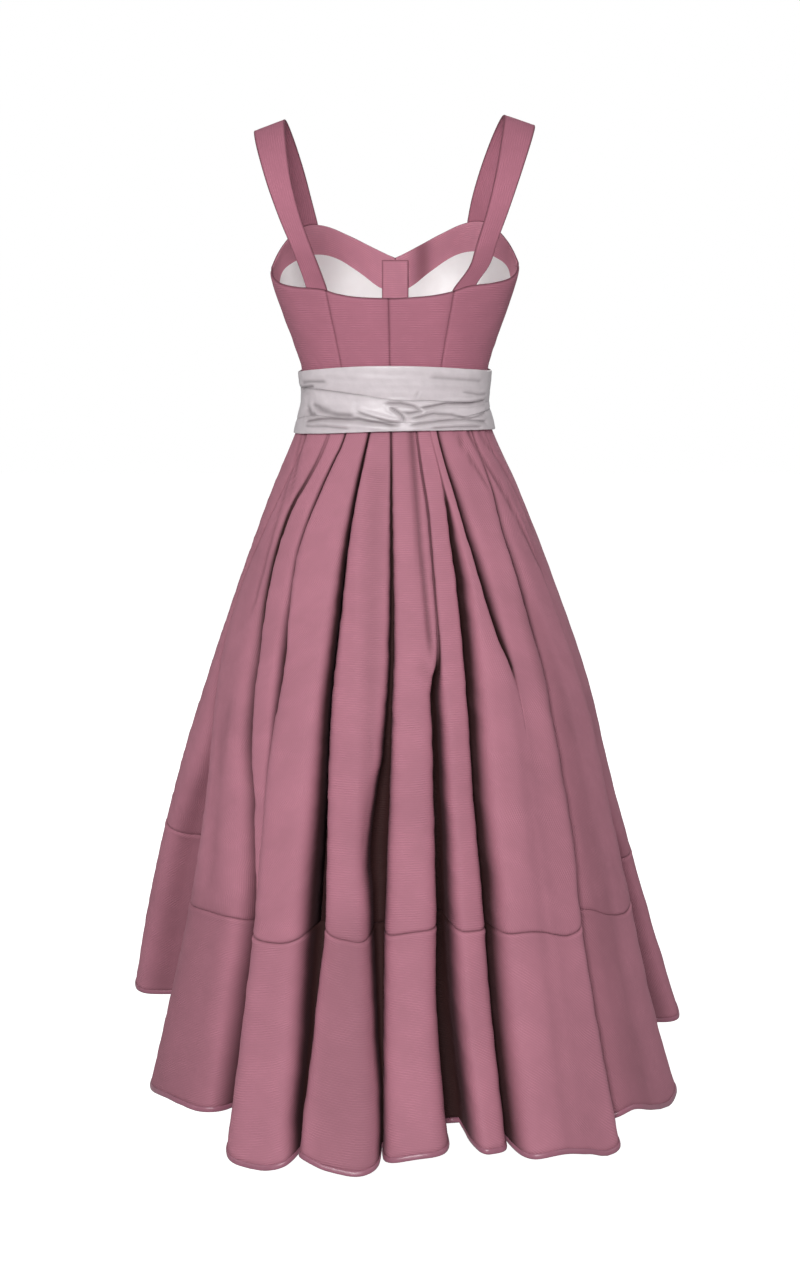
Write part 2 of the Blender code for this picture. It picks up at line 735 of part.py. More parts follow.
# ---------------------------------------------------------------- straps
def strap_stations(side):
    """Points across a strap at each station, from inside the back, over the shoulder, to the cup."""
    inside = -BODICE_CLOTH - 3 * SEAM_GAP
    sign = 1 if side == "left" else -1
    shares = np.linspace(0.0, 1.0, STRAP_PIECES_WIDE + 1)

    def on_edge(ends, above, out):
        phis = [ends[0] + (ends[1] - ends[0]) * share for share in shares]
        return [body_point(phi, top_edge(phi) + above, out) for phi in phis]

    stations = [on_edge(STRAP_ROOT[side], above, inside) for above in (-STRAP_ROOT_LAP, STRAP_ROOT_RISE)]
    for row in STRAP_PATH:
        inner, outer = [np.array([sign * p[0], p[1], p[2] - SKEW * sign * p[0]]) for p in (row[:3], row[3:])]
        stations.append([inner + (outer - inner) * share for share in shares])
    stations.append(on_edge(STRAP_TIP[side], STRAP_TIP_GAP, 0.0))
    return stations


def make_strap(side, rose):
    """A flat double strap, as rows of points across it along its whole length."""
    stations = strap_stations(side)
    keys = list(range(len(stations)))
    places = np.linspace(0.0, len(stations) - 1, STRAP_PIECES_LONG + 1)

    def line_at(at):
        line = range(STRAP_PIECES_WIDE + 1)
        return [[smooth_value(keys, [s[i][axis] for s in stations], at) for axis in range(3)] for i in line]

    outer = np.array([line_at(at) for at in places])
    if side == "left":
        outer = outer[:, ::-1]
    normals = np.cross(np.gradient(outer, axis=1), np.gradient(outer, axis=0))
    normals /= np.linalg.norm(normals, axis=2, keepdims=True)
    inner = outer - normals * STRAP_CLOTH
    wall("strap_" + side, [list(row) for row in outer], [list(row) for row in inner], rose)


# ---------------------------------------------------------------- the sash
def sash_point(phi, h, out):
    """A point of the sash a distance outside its inner face."""
    angle = math.radians(phi)
    across = read_table(SASH_SECTIONS, 1, h) + out
    along = read_table(SASH_SECTIONS, 2 if math.cos(angle) > 0 else 3, h) + out
    x = across * power_of(math.sin(angle), 2 / BODY_ROUNDNESS)
    y = along * power_of(math.cos(angle), 2 / BODY_ROUNDNESS)
    return np.array([x, y, h])


def make_sash(satin):
    """Three stretches of the wound sash, one above the other, each a ring round the waist."""
    phis = [180 - 360 * i / SASH_COLUMNS for i in range(SASH_COLUMNS)]
    for name, (low_column, high_column, lift, rows) in SASH_STRETCHES.items():
        grids = []
        for depth in (SATIN + lift, lift):
            grid = []
            for share in np.linspace(0.0, 1.0, rows + 1):
                ring = []
                for phi in phis:
                    low = read_table(SASH_EDGES, low_column, phi) + 0.5 * SEAM_GAP
                    high = read_table(SASH_EDGES, high_column, phi) - 0.5 * SEAM_GAP
                    ring.append(sash_point(phi, low + (high - low) * share, depth))
                grid.append(ring)
            grids.append(grid)
        wall(name, grids[0], grids[1], satin, closed=True)


# ---------------------------------------------------------------- materials
def cloth_material(name, colour, roughness):
    material = bpy.data.materials.new(name)
    material.use_nodes = True
    shader = material.node_tree.nodes["Principled BSDF"]
    shader.inputs["Base Color"].default_value = (*colour, 1.0)
    shader.inputs["Roughness"].default_value = roughness
    shader.inputs["Metallic"].default_value = 0.0
    return material


def main():
    for obj in list(bpy.data.objects):
        bpy.data.objects.remove(obj)
    rose = cloth_material("rose_ribbed_cotton", ROSE, 0.85)
    white = cloth_material("white_cotton_lining", WHITE_LINING, 0.85)
    silver = cloth_material("silver_satin", SILVER_SATIN, 0.35)
    rose_satin = cloth_material("rose_satin", ROSE_SATIN, 0.40)
    make_skirt(rose, rose_satin)
    make_bodice(rose, white)
    for side in ("left", "right"):
        make_strap(side, rose)
    make_sash(silver)


main()
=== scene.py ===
# %% [markdown]
# # A sleeveless dirndl with a deep-pleated skirt
# The dress is seen from behind, filled out as if worn, with nobody in it. Its fixed frame is the packed
# model: every piece here takes the place of one solid of that frame, so the making of each piece starts
# from the same sizes as the solid, in metres, and adds what the eye looks for: fine creases, rolled
# seams, the rib of the cotton and the gloss of the satin.

# %% Load the frame and keep its box
import json
import math

import bpy
import numpy as np
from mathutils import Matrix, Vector

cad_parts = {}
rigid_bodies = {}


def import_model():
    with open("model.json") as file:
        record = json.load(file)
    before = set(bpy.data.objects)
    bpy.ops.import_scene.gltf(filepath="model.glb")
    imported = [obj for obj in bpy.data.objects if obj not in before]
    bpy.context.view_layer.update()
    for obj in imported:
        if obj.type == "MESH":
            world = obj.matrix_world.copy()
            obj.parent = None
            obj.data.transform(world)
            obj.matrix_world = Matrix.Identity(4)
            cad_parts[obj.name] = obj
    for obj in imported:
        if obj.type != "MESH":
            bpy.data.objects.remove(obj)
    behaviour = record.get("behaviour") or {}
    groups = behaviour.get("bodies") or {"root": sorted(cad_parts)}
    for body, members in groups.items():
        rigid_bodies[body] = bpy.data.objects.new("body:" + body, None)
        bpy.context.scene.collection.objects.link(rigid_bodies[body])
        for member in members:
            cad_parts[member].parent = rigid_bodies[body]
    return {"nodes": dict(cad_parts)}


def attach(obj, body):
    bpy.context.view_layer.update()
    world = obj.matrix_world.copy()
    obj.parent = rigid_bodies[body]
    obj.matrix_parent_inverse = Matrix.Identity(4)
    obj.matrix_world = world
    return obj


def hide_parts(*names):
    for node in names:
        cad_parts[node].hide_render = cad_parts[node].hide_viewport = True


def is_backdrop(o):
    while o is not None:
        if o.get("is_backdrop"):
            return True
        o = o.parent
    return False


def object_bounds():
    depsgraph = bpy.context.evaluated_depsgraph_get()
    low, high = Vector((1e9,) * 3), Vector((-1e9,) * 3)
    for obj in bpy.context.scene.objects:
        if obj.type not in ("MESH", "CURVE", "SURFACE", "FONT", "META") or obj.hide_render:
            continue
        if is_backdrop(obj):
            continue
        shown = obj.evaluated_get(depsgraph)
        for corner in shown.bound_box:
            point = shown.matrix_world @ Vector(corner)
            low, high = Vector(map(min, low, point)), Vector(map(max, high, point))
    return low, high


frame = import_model()
cad_box = [[float(v) for v in corner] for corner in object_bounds()]
print("solids:", len(frame["nodes"]), "box:", [[round(v, 3) for v in corner] for corner in cad_box])

# %% [markdown]
# The camera comes first. The picture looks at the back of the dress from 2.3 m away and a little above
# the sash, tipped 12 degrees down, so the hem opens towards us. An ordinary lens of 47 mm does it. No
# shift and no depth of field are needed.

# %% Camera
SHOULDER_H = 0.358  # from the waist line up to the origin, which lies between the shoulders
CAMERA_BACK = 2.3
CAMERA_SIDE = -0.0068
CAMERA_H = 0.1728
CAMERA_TILT = 12.33
LENS = 47.43

lens = bpy.data.cameras.new("camera")
lens.sensor_fit = "AUTO"
lens.sensor_width = 36.0
lens.lens = LENS
camera = bpy.data.objects.new("camera", lens)
camera.location = (CAMERA_SIDE, CAMERA_BACK, CAMERA_H - SHOULDER_H)
camera.rotation_euler = (math.radians(90 - CAMERA_TILT), 0.0, math.radians(180))
bpy.context.scene.collection.objects.link(camera)
bpy.context.scene.camera = camera
print("camera", tuple(round(v, 3) for v in camera.location), "lens", LENS, "mm")

# %% [markdown]
# A shape drawn by a few sizes needs smooth curves between them. A cubic Hermite curve passes through
# every given value and doesn't overshoot much, so a cutter's table of measures becomes a soft outline.
# All helpers work on whole numpy grids at once, which keeps the script quick.

# %% Curves
RIPPLE_WAVES, PITCH_SPREAD = 6, (0.6, 1.6)


def between(keys, values, at):
    """A smooth curve through values at rising keys, held level past both ends."""
    keys, values = np.asarray(keys, float), np.asarray(values, float)
    at = np.clip(np.asarray(at, float), keys[0], keys[-1])
    last = len(keys) - 1
    i = np.clip(np.searchsorted(keys, at, side="right") - 1, 0, last - 1)
    low, high = np.maximum(np.arange(last + 1) - 1, 0), np.minimum(np.arange(last + 1) + 1, last)
    slope = (values[high] - values[low]) / (keys[high] - keys[low])
    span = keys[i + 1] - keys[i]
    t = (at - keys[i]) / span
    rise = values[i] * (2 * t**3 - 3 * t**2 + 1) + values[i + 1] * (3 * t**2 - 2 * t**3)
    return rise + slope[i] * span * (t**3 - 2 * t**2 + t) + slope[i + 1] * span * (t**3 - t**2)


def column(table, number, at):
    """The curve through one column of a table whose first column rises."""
    return between([row[0] for row in table], [row[number] for row in table], at)


def power_of(value, power):
    return np.sign(value) * np.abs(value) ** power


def smooth_step(t):
    t = np.clip(t, 0.0, 1.0)
    return t * t * (3 - 2 * t)


def within(value, low, high, soft):
    """1 between two limits and 0 outside them, with soft ends inside."""
    return smooth_step((value - low) / soft) * smooth_step((high - value) / soft)


def hump(away, half):
    """1 on a line and nearly 0 two half widths away from it."""
    return np.exp(-((away / half) ** 2))


def unit(vectors):
    return vectors / np.maximum(np.linalg.norm(vectors, axis=-1, keepdims=True), 1e-12)


def ripple(across, along, size, seed):
    """A gentle uneven swell between -1 and 1, for cloth that never lies quite flat."""
    rng = np.random.default_rng(seed)
    swell = np.zeros(np.broadcast(across, along).shape)
    for _ in range(RIPPLE_WAVES):
        turn, start = rng.uniform(0, math.pi), rng.uniform(0, 2 * math.pi)
        pitch = size * rng.uniform(*PITCH_SPREAD)
        swell += np.sin((across * math.cos(turn) + along * math.sin(turn)) * 2 * math.pi / pitch + start)
    return swell / RIPPLE_WAVES


print("curve check:", float(between((0, 1, 2), (0, 1, 0), 0.5)))

# %% [markdown]
# Every piece is cut cloth with two faces, so one builder makes them all. It takes the grid of a piece's
# outer face, lays the inner face a cloth's thickness behind it, and closes the border with a rounded
# rim. Each corner also gets its place on the flat pattern, in metres, as its UV. The rib of the cloth
# then follows the way each piece was cut, and the flat sizes can be read straight off the pattern.

# %% Cloth builder
scene_objects = bpy.context.scene.collection.objects


def out_of(grid, closed=False):
    """A unit vector out of the cloth at each point of a grid."""
    down = np.gradient(grid, axis=0)
    if closed:
        ahead, behind = np.roll(grid, -1, axis=1) - grid, grid - np.roll(grid, 1, axis=1)
    else:
        ahead, behind = np.diff(grid, axis=1, append=0), np.diff(grid, axis=1, prepend=0)
        ahead[:, -1], behind[:, 0] = behind[:, -1], ahead[:, 0]
    return unit(np.cross(unit(ahead), down) + np.cross(unit(behind), down))


def flat_pattern(grid, closed=False):
    """Each corner's place on the flat cloth: across along its row, and down along its column."""
    wide = np.concatenate([grid, grid[:, :1]], axis=1) if closed else grid
    across = np.cumsum(np.linalg.norm(np.diff(wide, axis=1), axis=2), axis=1)
    across = np.concatenate([np.zeros((len(grid), 1)), across], axis=1)
    across = across - across[:, -1:] / 2
    down = np.cumsum(np.linalg.norm(np.diff(wide, axis=0), axis=2), axis=0)
    down = np.concatenate([np.zeros((1, wide.shape[1])), down], axis=0)
    return np.stack([across, down], axis=-1)


def cloth(name, outer, thickness, flat, closed=False, shade=None, rim=0.5):
    """A closed wall of cloth with rounded rims; shade is the painted shade at each point, from 0 to 1, that
    darkens its colour.
    """
    rows, columns = outer.shape[:2]
    wide = columns + 1 if closed else columns
    inner = outer - thickness * out_of(outer, closed)
    away = np.zeros_like(outer)
    away[0] += unit(outer[0] - outer[1])
    away[-1] += unit(outer[-1] - outer[-2])
    if not closed:
        away[:, 0] += unit(outer[:, 0] - outer[:, 1])
        away[:, -1] += unit(outer[:, -1] - outer[:, -2])
    middle = 0.5 * (outer + inner) + unit(away) * thickness * rim
    vertex = (np.arange(rows)[:, None] * columns + np.arange(wide) % columns).ravel()
    place = np.arange(rows * wide).reshape(rows, wide)
    if closed:
        borders = [place[0], place[-1][::-1]]
    else:
        borders = [np.concatenate([place[0], place[1:, -1], place[-1, -2::-1], place[-2::-1, 0]])]
    quads = np.stack([place[:-1, :-1], place[:-1, 1:], place[1:, 1:], place[1:, :-1]], axis=-1)
    quads = quads.reshape(-1, 4)
    under = rows * columns
    points = [outer.reshape(-1, 3), inner.reshape(-1, 3)]
    faces, corners = [vertex[quads], vertex[quads[:, ::-1]] + under], [quads, quads[:, ::-1]]
    rim_vertices = []
    start = 2 * under
    for border in borders:
        this, after = border[:-1], border[1:]
        mid = start + np.arange(len(this))
        mid_after = np.roll(mid, -1)
        points.append(middle.reshape(-1, 3)[vertex[this]])
        rim_vertices.append(vertex[this])
        faces.append(np.stack([vertex[after], vertex[this], mid, mid_after], axis=-1))
        faces.append(np.stack([mid_after, mid, vertex[this] + under, vertex[after] + under], axis=-1))
        corners += [np.stack([after, this, this, after], axis=-1)] * 2
        start += len(this)
    mesh = bpy.data.meshes.new(name)
    mesh.from_pydata(np.concatenate(points).tolist(), [], np.concatenate(faces).tolist())
    layer = mesh.uv_layers.new(name="flat_pattern")
    layer.data.foreach_set("uv", flat.reshape(-1, 2)[np.concatenate(corners).ravel()].ravel())
    values = np.zeros((rows, columns)) if shade is None else shade
    values = values.ravel()
    values = np.concatenate([values, values] + [values[v] for v in rim_vertices])
    # painted shade: stored at each point, the materials darken their colour by it
    mesh.attributes.new("painted_shade_mask", "FLOAT", "POINT").data.foreach_set("value", values)
    mesh.shade_smooth()
    piece = bpy.data.objects.new(name, mesh)
    piece.location = (0.0, 0.0, -SHOULDER_H)
    scene_objects.link(piece)
    return piece


def spaced(length, pitch, near=(0.0, 0.0007, 0.0015, 0.0025, 0.0040, 0.0060)):
    """Places from 0 to 1 along a length, closer together beside both sewn edges."""
    near = np.array(near)
    middle = np.linspace(near[-1] + pitch, length - near[-1] - pitch, max(2, round(length / pitch)))
    return np.concatenate([near, middle, length - near[::-1]]) / length


# %% [markdown]
# Each piece takes the place of one solid and rides on the dress's only body. The size of its cut is
# read off the flat pattern and printed.

# %% Hand a piece over to the frame
def flat_size(piece):
    """Width, length and area of a piece's flat pattern, from its outer half."""
    mesh = piece.data
    flat = np.empty(len(mesh.loops) * 2)
    mesh.uv_layers[0].data.foreach_get("uv", flat)
    flat = flat.reshape(-1, 4, 2)
    width, length = flat.reshape(-1, 2).max(axis=0) - flat.reshape(-1, 2).min(axis=0)
    a, b = flat[:, 2] - flat[:, 0], flat[:, 3] - flat[:, 1]
    return float(width), float(length), float(np.abs(a[:, 0] * b[:, 1] - a[:, 1] * b[:, 0]).sum() / 4)


def hand_over(piece, node, material):
    piece.data.materials.append(material)
    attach(piece, "root")
    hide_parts(node)
    width, length, area = flat_size(piece)
    area = min(area, 0.999 * width * length)
    print(f"{node}: cut {width:.3f} x {length:.3f} m, {area:.3f} m2, {len(piece.data.polygons)} faces")


# %% [markdown]
# Colours are picked as they look on a screen, in hex, while a shader needs linear light. One function
# turns one into the other, and one more adds a node with its settings, values and links. What the three
# cloths share is written once: how a material starts, how painted shade darkens it in folds, seams and
# edges, and its last links.

# %% Colour and node helpers
def linear(hex_colour):
    """An sRGB hex colour as linear red, green, blue and alpha."""
    parts = [int(hex_colour[i : i + 2], 16) / 255 for i in (1, 3, 5)]
    return tuple(p / 12.92 if p <= 0.04045 else ((p + 0.055) / 1.055) ** 2.4 for p in parts) + (1.0,)


def add(tree, kind, inputs=None, out=0, **settings):
    """One node's output; inputs are plain values or the sockets that feed it, by name or number."""
    made = tree.nodes.new("ShaderNode" + kind)
    for key, value in settings.items():
        setattr(made, key, value)
    for key, value in (inputs or {}).items():
        if isinstance(value, bpy.types.NodeSocket):
            tree.links.new(value, made.inputs[key])
        else:
            made.inputs[key].default_value = value
    return made.outputs[out]


def new_material(name):
    """A material with its shader, and the place on the flat pattern that every weave is drawn by."""
    material = bpy.data.materials.new(name)
    material.use_nodes = True
    tree = material.node_tree
    place = add(tree, "UVMap", uv_map="flat_pattern")
    return material, tree, tree.nodes["Principled BSDF"], place


def mixed(tree, share, low, high):
    """Two hex colours mixed; a mix node's colours are its inputs 6 and 7 and its output 2."""
    return add(tree, "Mix", {0: share, 6: linear(low), 7: linear(high)}, 2, data_type="RGBA")


def with_painted_shade(tree, colour, shaded, tone):
    """The cloth's colour, mixed towards its shaded colour by the painted shade mask, times a tone."""
    deep = add(tree, "Attribute", out="Fac", attribute_name="painted_shade_mask")
    face = mixed(tree, deep, colour, shaded)
    return add(tree, "VectorMath", {0: face, "Scale": tone}, operation="SCALE")


def finish(tree, shader, colour, rough, normal, ior):
    """Links what every cloth has: its colour, its roughness and its relief."""
    tree.links.new(colour, shader.inputs["Base Color"])
    tree.links.new(rough, shader.inputs["Roughness"])
    tree.links.new(normal, shader.inputs["Normal"])
    shader.inputs["IOR"].default_value = ior


MM = 0.001
WAVE_PERIOD = 2 * math.pi / 20  # Blender's wave texture repeats after this length at scale 1
BUMP_REACH = 0.5 * MM

# %% [markdown]
# The dress is of ribbed cotton, a rep: thick weft threads lie under fine warp, so the cloth shows low
# parallel ribs across the piece. It is matt with a faint bloom of fibres at grazing light. The real
# ribs are about 1.5 mm apart, which is finer than a pixel of the picture, so they are drawn 3 mm apart,
# and their strength comes and goes as it does in the real cloth. A wave texture on the flat pattern
# makes the ribs, and noises make the slub of the yarn and the slow drift of the dye. The colour is a
# little darker where ribs and slubs sink, as painted shade in their hollows. The facing is cut from the
# same cloth. It lies in the shade inside the bodice and yet has to look as light as the outside, so its
# rose is painted a little paler, as painted light.

# %% Ribbed cotton, woven and piece-dyed dusty rose
RIB_PITCH = 3.0 * MM
COTTON_IOR = 1.47


def ribbed_cotton(name, colour, shaded, bloom):
    material, tree, shader, place = new_material(name)
    wave = {"Vector": place, "Scale": WAVE_PERIOD / RIB_PITCH, "Distortion": 1.2}
    wave |= {"Detail": 2.0, "Detail Scale": 0.6}
    ribs = add(tree, "TexWave", wave, "Fac", bands_direction="Y", wave_profile="SIN")
    slub, patches, drift = [
        add(tree, "TexNoise", {"Vector": place, "Scale": 1 / (size * MM), "Detail": detail})
        for size, detail in ((1.1, 3.0), (26, 2.0), (90, 3.0))
    ]
    strength = add(tree, "MapRange", {0: patches, "From Min": 0.42, "From Max": 0.68, "To Min": 0.25})
    relief = add(tree, "Math", {0: ribs, 1: strength}, operation="MULTIPLY")
    relief = add(tree, "Math", {0: slub, 1: 0.55, 2: relief}, operation="MULTIPLY_ADD")
    normal = add(tree, "Bump", {"Strength": 0.8, "Distance": BUMP_REACH, "Height": relief})
    dye = add(tree, "MapRange", {0: drift, "From Min": 0.3, "From Max": 0.7, "To Min": 0.93, "To Max": 1.06})
    # painted shade: the colour darkens where the bump's relief of ribs and slubs sinks
    painted_rib_shade = add(tree, "MapRange", {0: relief, "From Max": 1.4, "To Min": 0.84, "To Max": 1.07})
    tone = add(tree, "Math", {0: dye, 1: painted_rib_shade}, operation="MULTIPLY")
    rough = add(tree, "MapRange", {0: relief, "From Max": 1.4, "To Min": 0.86, "To Max": 0.70})
    finish(tree, shader, with_painted_shade(tree, colour, shaded, tone), rough, normal, COTTON_IOR)
    shader.inputs["Sheen Weight"].default_value = bloom
    shader.inputs["Sheen Roughness"].default_value = 0.45
    shader.inputs["Sheen Tint"].default_value = linear("#c9909f")
    return material


# Each cloth's second colour is the painted shade colour that folds, seams and edges are darkened to.
rose_cotton = ribbed_cotton("rose_ribbed_cotton_woven", "#b9798a", "#34100f", 0.12)
bodice_cotton = ribbed_cotton("rose_ribbed_cotton_bodice", "#b47083", "#4e1f2b", 0.10)
# painted light: the facing's rose is paler than the outside's, so that it looks as light though it lies in
# shade
facing_cotton_painted_light = ribbed_cotton("rose_ribbed_cotton_facing_painted_light", "#cf8a9d", "#5a2733", 0.10)
print("ribs every", RIB_PITCH * 1000, "mm:", rose_cotton.name, bodice_cotton.name, facing_cotton_painted_light.name)

# %% [markdown]
# The lining is a fine plain-woven white cotton: smooth, matt and a little creased. A low noise gives
# the creases and a very fine one the weave, and the colour is a touch darker where the creases sink,
# as painted shade in them. Its own colour is nearly pure white, since the light that comes off the
# rose cloth round it tints it enough.

# %% White cotton lawn, plain-woven and bleached
def white_lawn(name):
    material, tree, shader, place = new_material(name)
    weave = add(tree, "TexNoise", {"Vector": place, "Scale": 1 / (1.0 * MM), "Detail": 2.0})
    crease = add(tree, "TexNoise", {"Vector": place, "Scale": 1 / (22 * MM), "Detail": 3.0})
    relief = add(tree, "Math", {0: weave, 1: 0.2, 2: crease}, operation="MULTIPLY_ADD")
    normal = add(tree, "Bump", {"Strength": 0.4, "Distance": 1.5 * MM, "Height": relief})
    # painted shade: a little darker where the crease noise sinks the bump
    colour = mixed(tree, crease, "#f6f3f3", "#fdfcfc")
    rough = add(tree, "MapRange", {0: weave, "To Min": 0.74, "To Max": 0.88})
    finish(tree, shader, colour, rough, normal, COTTON_IOR)
    return material


white_lining = white_lawn("white_cotton_lawn_bleached")
print("lining:", white_lining.name)

# %% [markdown]
# Satin is woven so that long floats of smooth thread lie on its face, which gives broad soft gloss and
# creases that catch the light. A low roughness and a fine streak along the thread do most of it. The
# colour is a little darker where the crinkle noise sinks the satin, as painted shade in its crinkles.

# %% Satin, woven with long floats
SATIN_IOR = 1.52


def satin(name, colour, shaded, gloss):
    material, tree, shader, place = new_material(name)
    long_way = add(tree, "Mapping", {"Vector": place, "Scale": (0.12, 1.0, 1.0)})
    floats = add(tree, "TexNoise", {"Vector": long_way, "Scale": 1 / (1.2 * MM), "Detail": 3.0})
    crinkle = add(tree, "TexNoise", {"Vector": place, "Scale": 1 / (14 * MM), "Detail": 2.0})
    relief = add(tree, "Math", {0: floats, 1: 0.15, 2: crinkle}, operation="MULTIPLY_ADD")
    normal = add(tree, "Bump", {"Strength": 0.45, "Distance": 1.2 * MM, "Height": relief})
    # painted shade: darker where the crinkle's relief sinks
    tone = add(tree, "MapRange", {0: crinkle, "To Min": 0.86, "To Max": 1.08})
    rough = add(tree, "MapRange", {0: floats, "To Min": gloss, "To Max": gloss + 0.12})
    finish(tree, shader, with_painted_shade(tree, colour, shaded, tone), rough, normal, SATIN_IOR)
    shader.inputs["Sheen Weight"].default_value = 0.10
    return material


# The second colour is the painted shade colour that creases and laps are darkened to.
silver_satin = satin("silver_satin_woven", "#d6ccd0", "#64595c", 0.32)
rose_satin = satin("rose_satin_woven", "#a06678", "#3f1c27", 0.26)
print("satins:", silver_satin.name, rose_satin.name)

# %% [markdown]
# The figure under the dress is a soft box rounder than a rectangle and squarer than an ellipse, whose
# half sizes change with height. The cups stand out of its front as two smooth mounds. Every bodice
# piece lies on this surface, a given distance outside it.

# %% The figure
BODY_ROUNDNESS = 2.25
SKEW, SKEW_H = 0.020, 0.150  # above the waist the dress hangs a little lower on its left
BODY_SECTIONS = (
    # h, half_width, back_depth, front_depth
    (-0.03, 0.1245, 0.0905, 0.0965), (0, 0.1228, 0.0895, 0.0965), (0.045, 0.1264, 0.0905, 0.099),
    (0.08, 0.137, 0.094, 0.1035), (0.122, 0.152, 0.1, 0.1085), (0.163, 0.165, 0.1045, 0.1115),
    (0.185, 0.166, 0.105, 0.111), (0.24, 0.156, 0.104, 0.106),
)
CUP_X, CUP_H, CUP_REACH_X, CUP_REACH_UP, CUP_REACH_DOWN = 0.078, 0.150, 0.072, 0.098, 0.070
CUP_STAND, CUP_FADE = 0.038, 0.25
PROBE_TURN, PROBE_UP = 1.5, 0.003  # steps that the slope of the surface is measured over


def soft_box(phi, left, right, back, front, roundness):
    """A ring in plan, at angles round it, from its four half sizes; roundness 2 is an ellipse."""
    turn = np.radians(phi)
    across = np.where(np.sin(turn) > 0, left, right)
    along = np.where(np.cos(turn) > 0, back, front)
    return across * power_of(np.sin(turn), 2 / roundness), along * power_of(np.cos(turn), 2 / roundness)


def body_surface(phi, h):
    """The outside of the bodice at angles round the body and heights above the waist line."""
    width, back, front = [column(BODY_SECTIONS, number, h) for number in (1, 2, 3)]
    x, y = soft_box(phi, width, width, back, front, BODY_ROUNDNESS)
    rise = h - CUP_H
    reach = np.where(rise > 0, CUP_REACH_UP, CUP_REACH_DOWN)
    away = np.minimum(np.hypot((np.abs(x) - CUP_X) / CUP_REACH_X, rise / reach), 1.0)
    cup = CUP_STAND * np.cos(0.5 * math.pi * away) ** 2
    y = y - np.where(y < 0, cup * smooth_step(-np.cos(np.radians(phi)) / CUP_FADE), 0.0)
    return np.stack([x, y, h - SKEW * x * smooth_step(h / SKEW_H)], axis=-1)


def body_point(phi, h, out=0.0):
    """Points a distance outside the bodice's outer face, square to it."""
    phi, h = np.broadcast_arrays(np.asarray(phi, float), np.asarray(h, float))
    along = body_surface(phi + PROBE_TURN, h) - body_surface(phi - PROBE_TURN, h)
    up = body_surface(phi, h + PROBE_UP) - body_surface(phi, h - PROBE_UP)
    normal = unit(np.cross(up, along))
    turn = np.radians(phi)
    inward = normal[..., 0] * np.sin(turn) + normal[..., 1] * np.cos(turn) < 0
    normal = np.where(inward[..., None], -normal, normal)
    return body_surface(phi, h) + np.asarray(out)[..., None] * normal


print("waist across:", round(2 * float(body_surface(90.0, 0.0)[0]), 3), "m")

# %% [markdown]
# The bodice's back is four panels: two beside the centre back seam, and two side backs beyond the
# princess seams. A sewn seam is a small valley where both panels roll inwards, so each panel dips by
# about a millimetre beside its seams, and painted shade darkens it along its seams and its top edge.
# Between the seams the cloth swells unevenly by tenths of a millimetre, mostly along its ribs, because
# it is worn tight.

# %% Bodice back and side backs
WAIST_SEAM_H = -0.020
SEAM_GAP = 0.0003
BODICE_CLOTH = 0.0020
LINING_CLOTH = 0.0012
SEAM_DIP, SEAM_REACH = 1.1 * MM, 2.2 * MM
CENTRE_BACK_SEAM, PRINCESS_LEFT, PRINCESS_RIGHT = 2.0, 31.0, -26.0
TOP_EDGE = (
    # phi, h
    (0, 0.1365), (15, 0.139), (25, 0.1435), (34, 0.15), (50, 0.153), (65, 0.1575), (76, 0.164),
    (84, 0.1715), (90, 0.179), (98, 0.188), (108, 0.206), (120, 0.225), (132, 0.235), (146, 0.233),
    (160, 0.22), (170, 0.206), (180, 0.189),
)


def top_edge(phi):
    return column(TOP_EDGE, 1, np.abs(phi))


def waist_edge(phi):
    return np.full(np.shape(phi), WAIST_SEAM_H + SEAM_GAP)


PANEL_PITCH, PANEL_RADIUS = 3.5 * MM, 0.13  # the grid's pitch; the radius that turns angles into widths
SWELL_SIZES, SWELL_STRETCH = (0.020, 0.045), 0.35
WRINKLE_UP, WRINKLE_TALL = 0.075, 0.022  # the small slanting pulls above the sash
WRINKLE_PITCH, WRINKLE_SLANT = 0.016, 0.9
# painted shade along the seams and the top edge, and the painted shadow that the placket casts
SEAM_SHADE, SEAM_LINE = 0.40, 0.9 * MM
TOP_SHADE, TOP_LINE = 0.65, 1.2 * MM
CAST_SHADE, CAST_TURN = 0.55, 4.0
BACK_SWELL, BACK_PULL, SIDE_PULL = 0.3 * MM, 0.15 * MM, 0.45 * MM


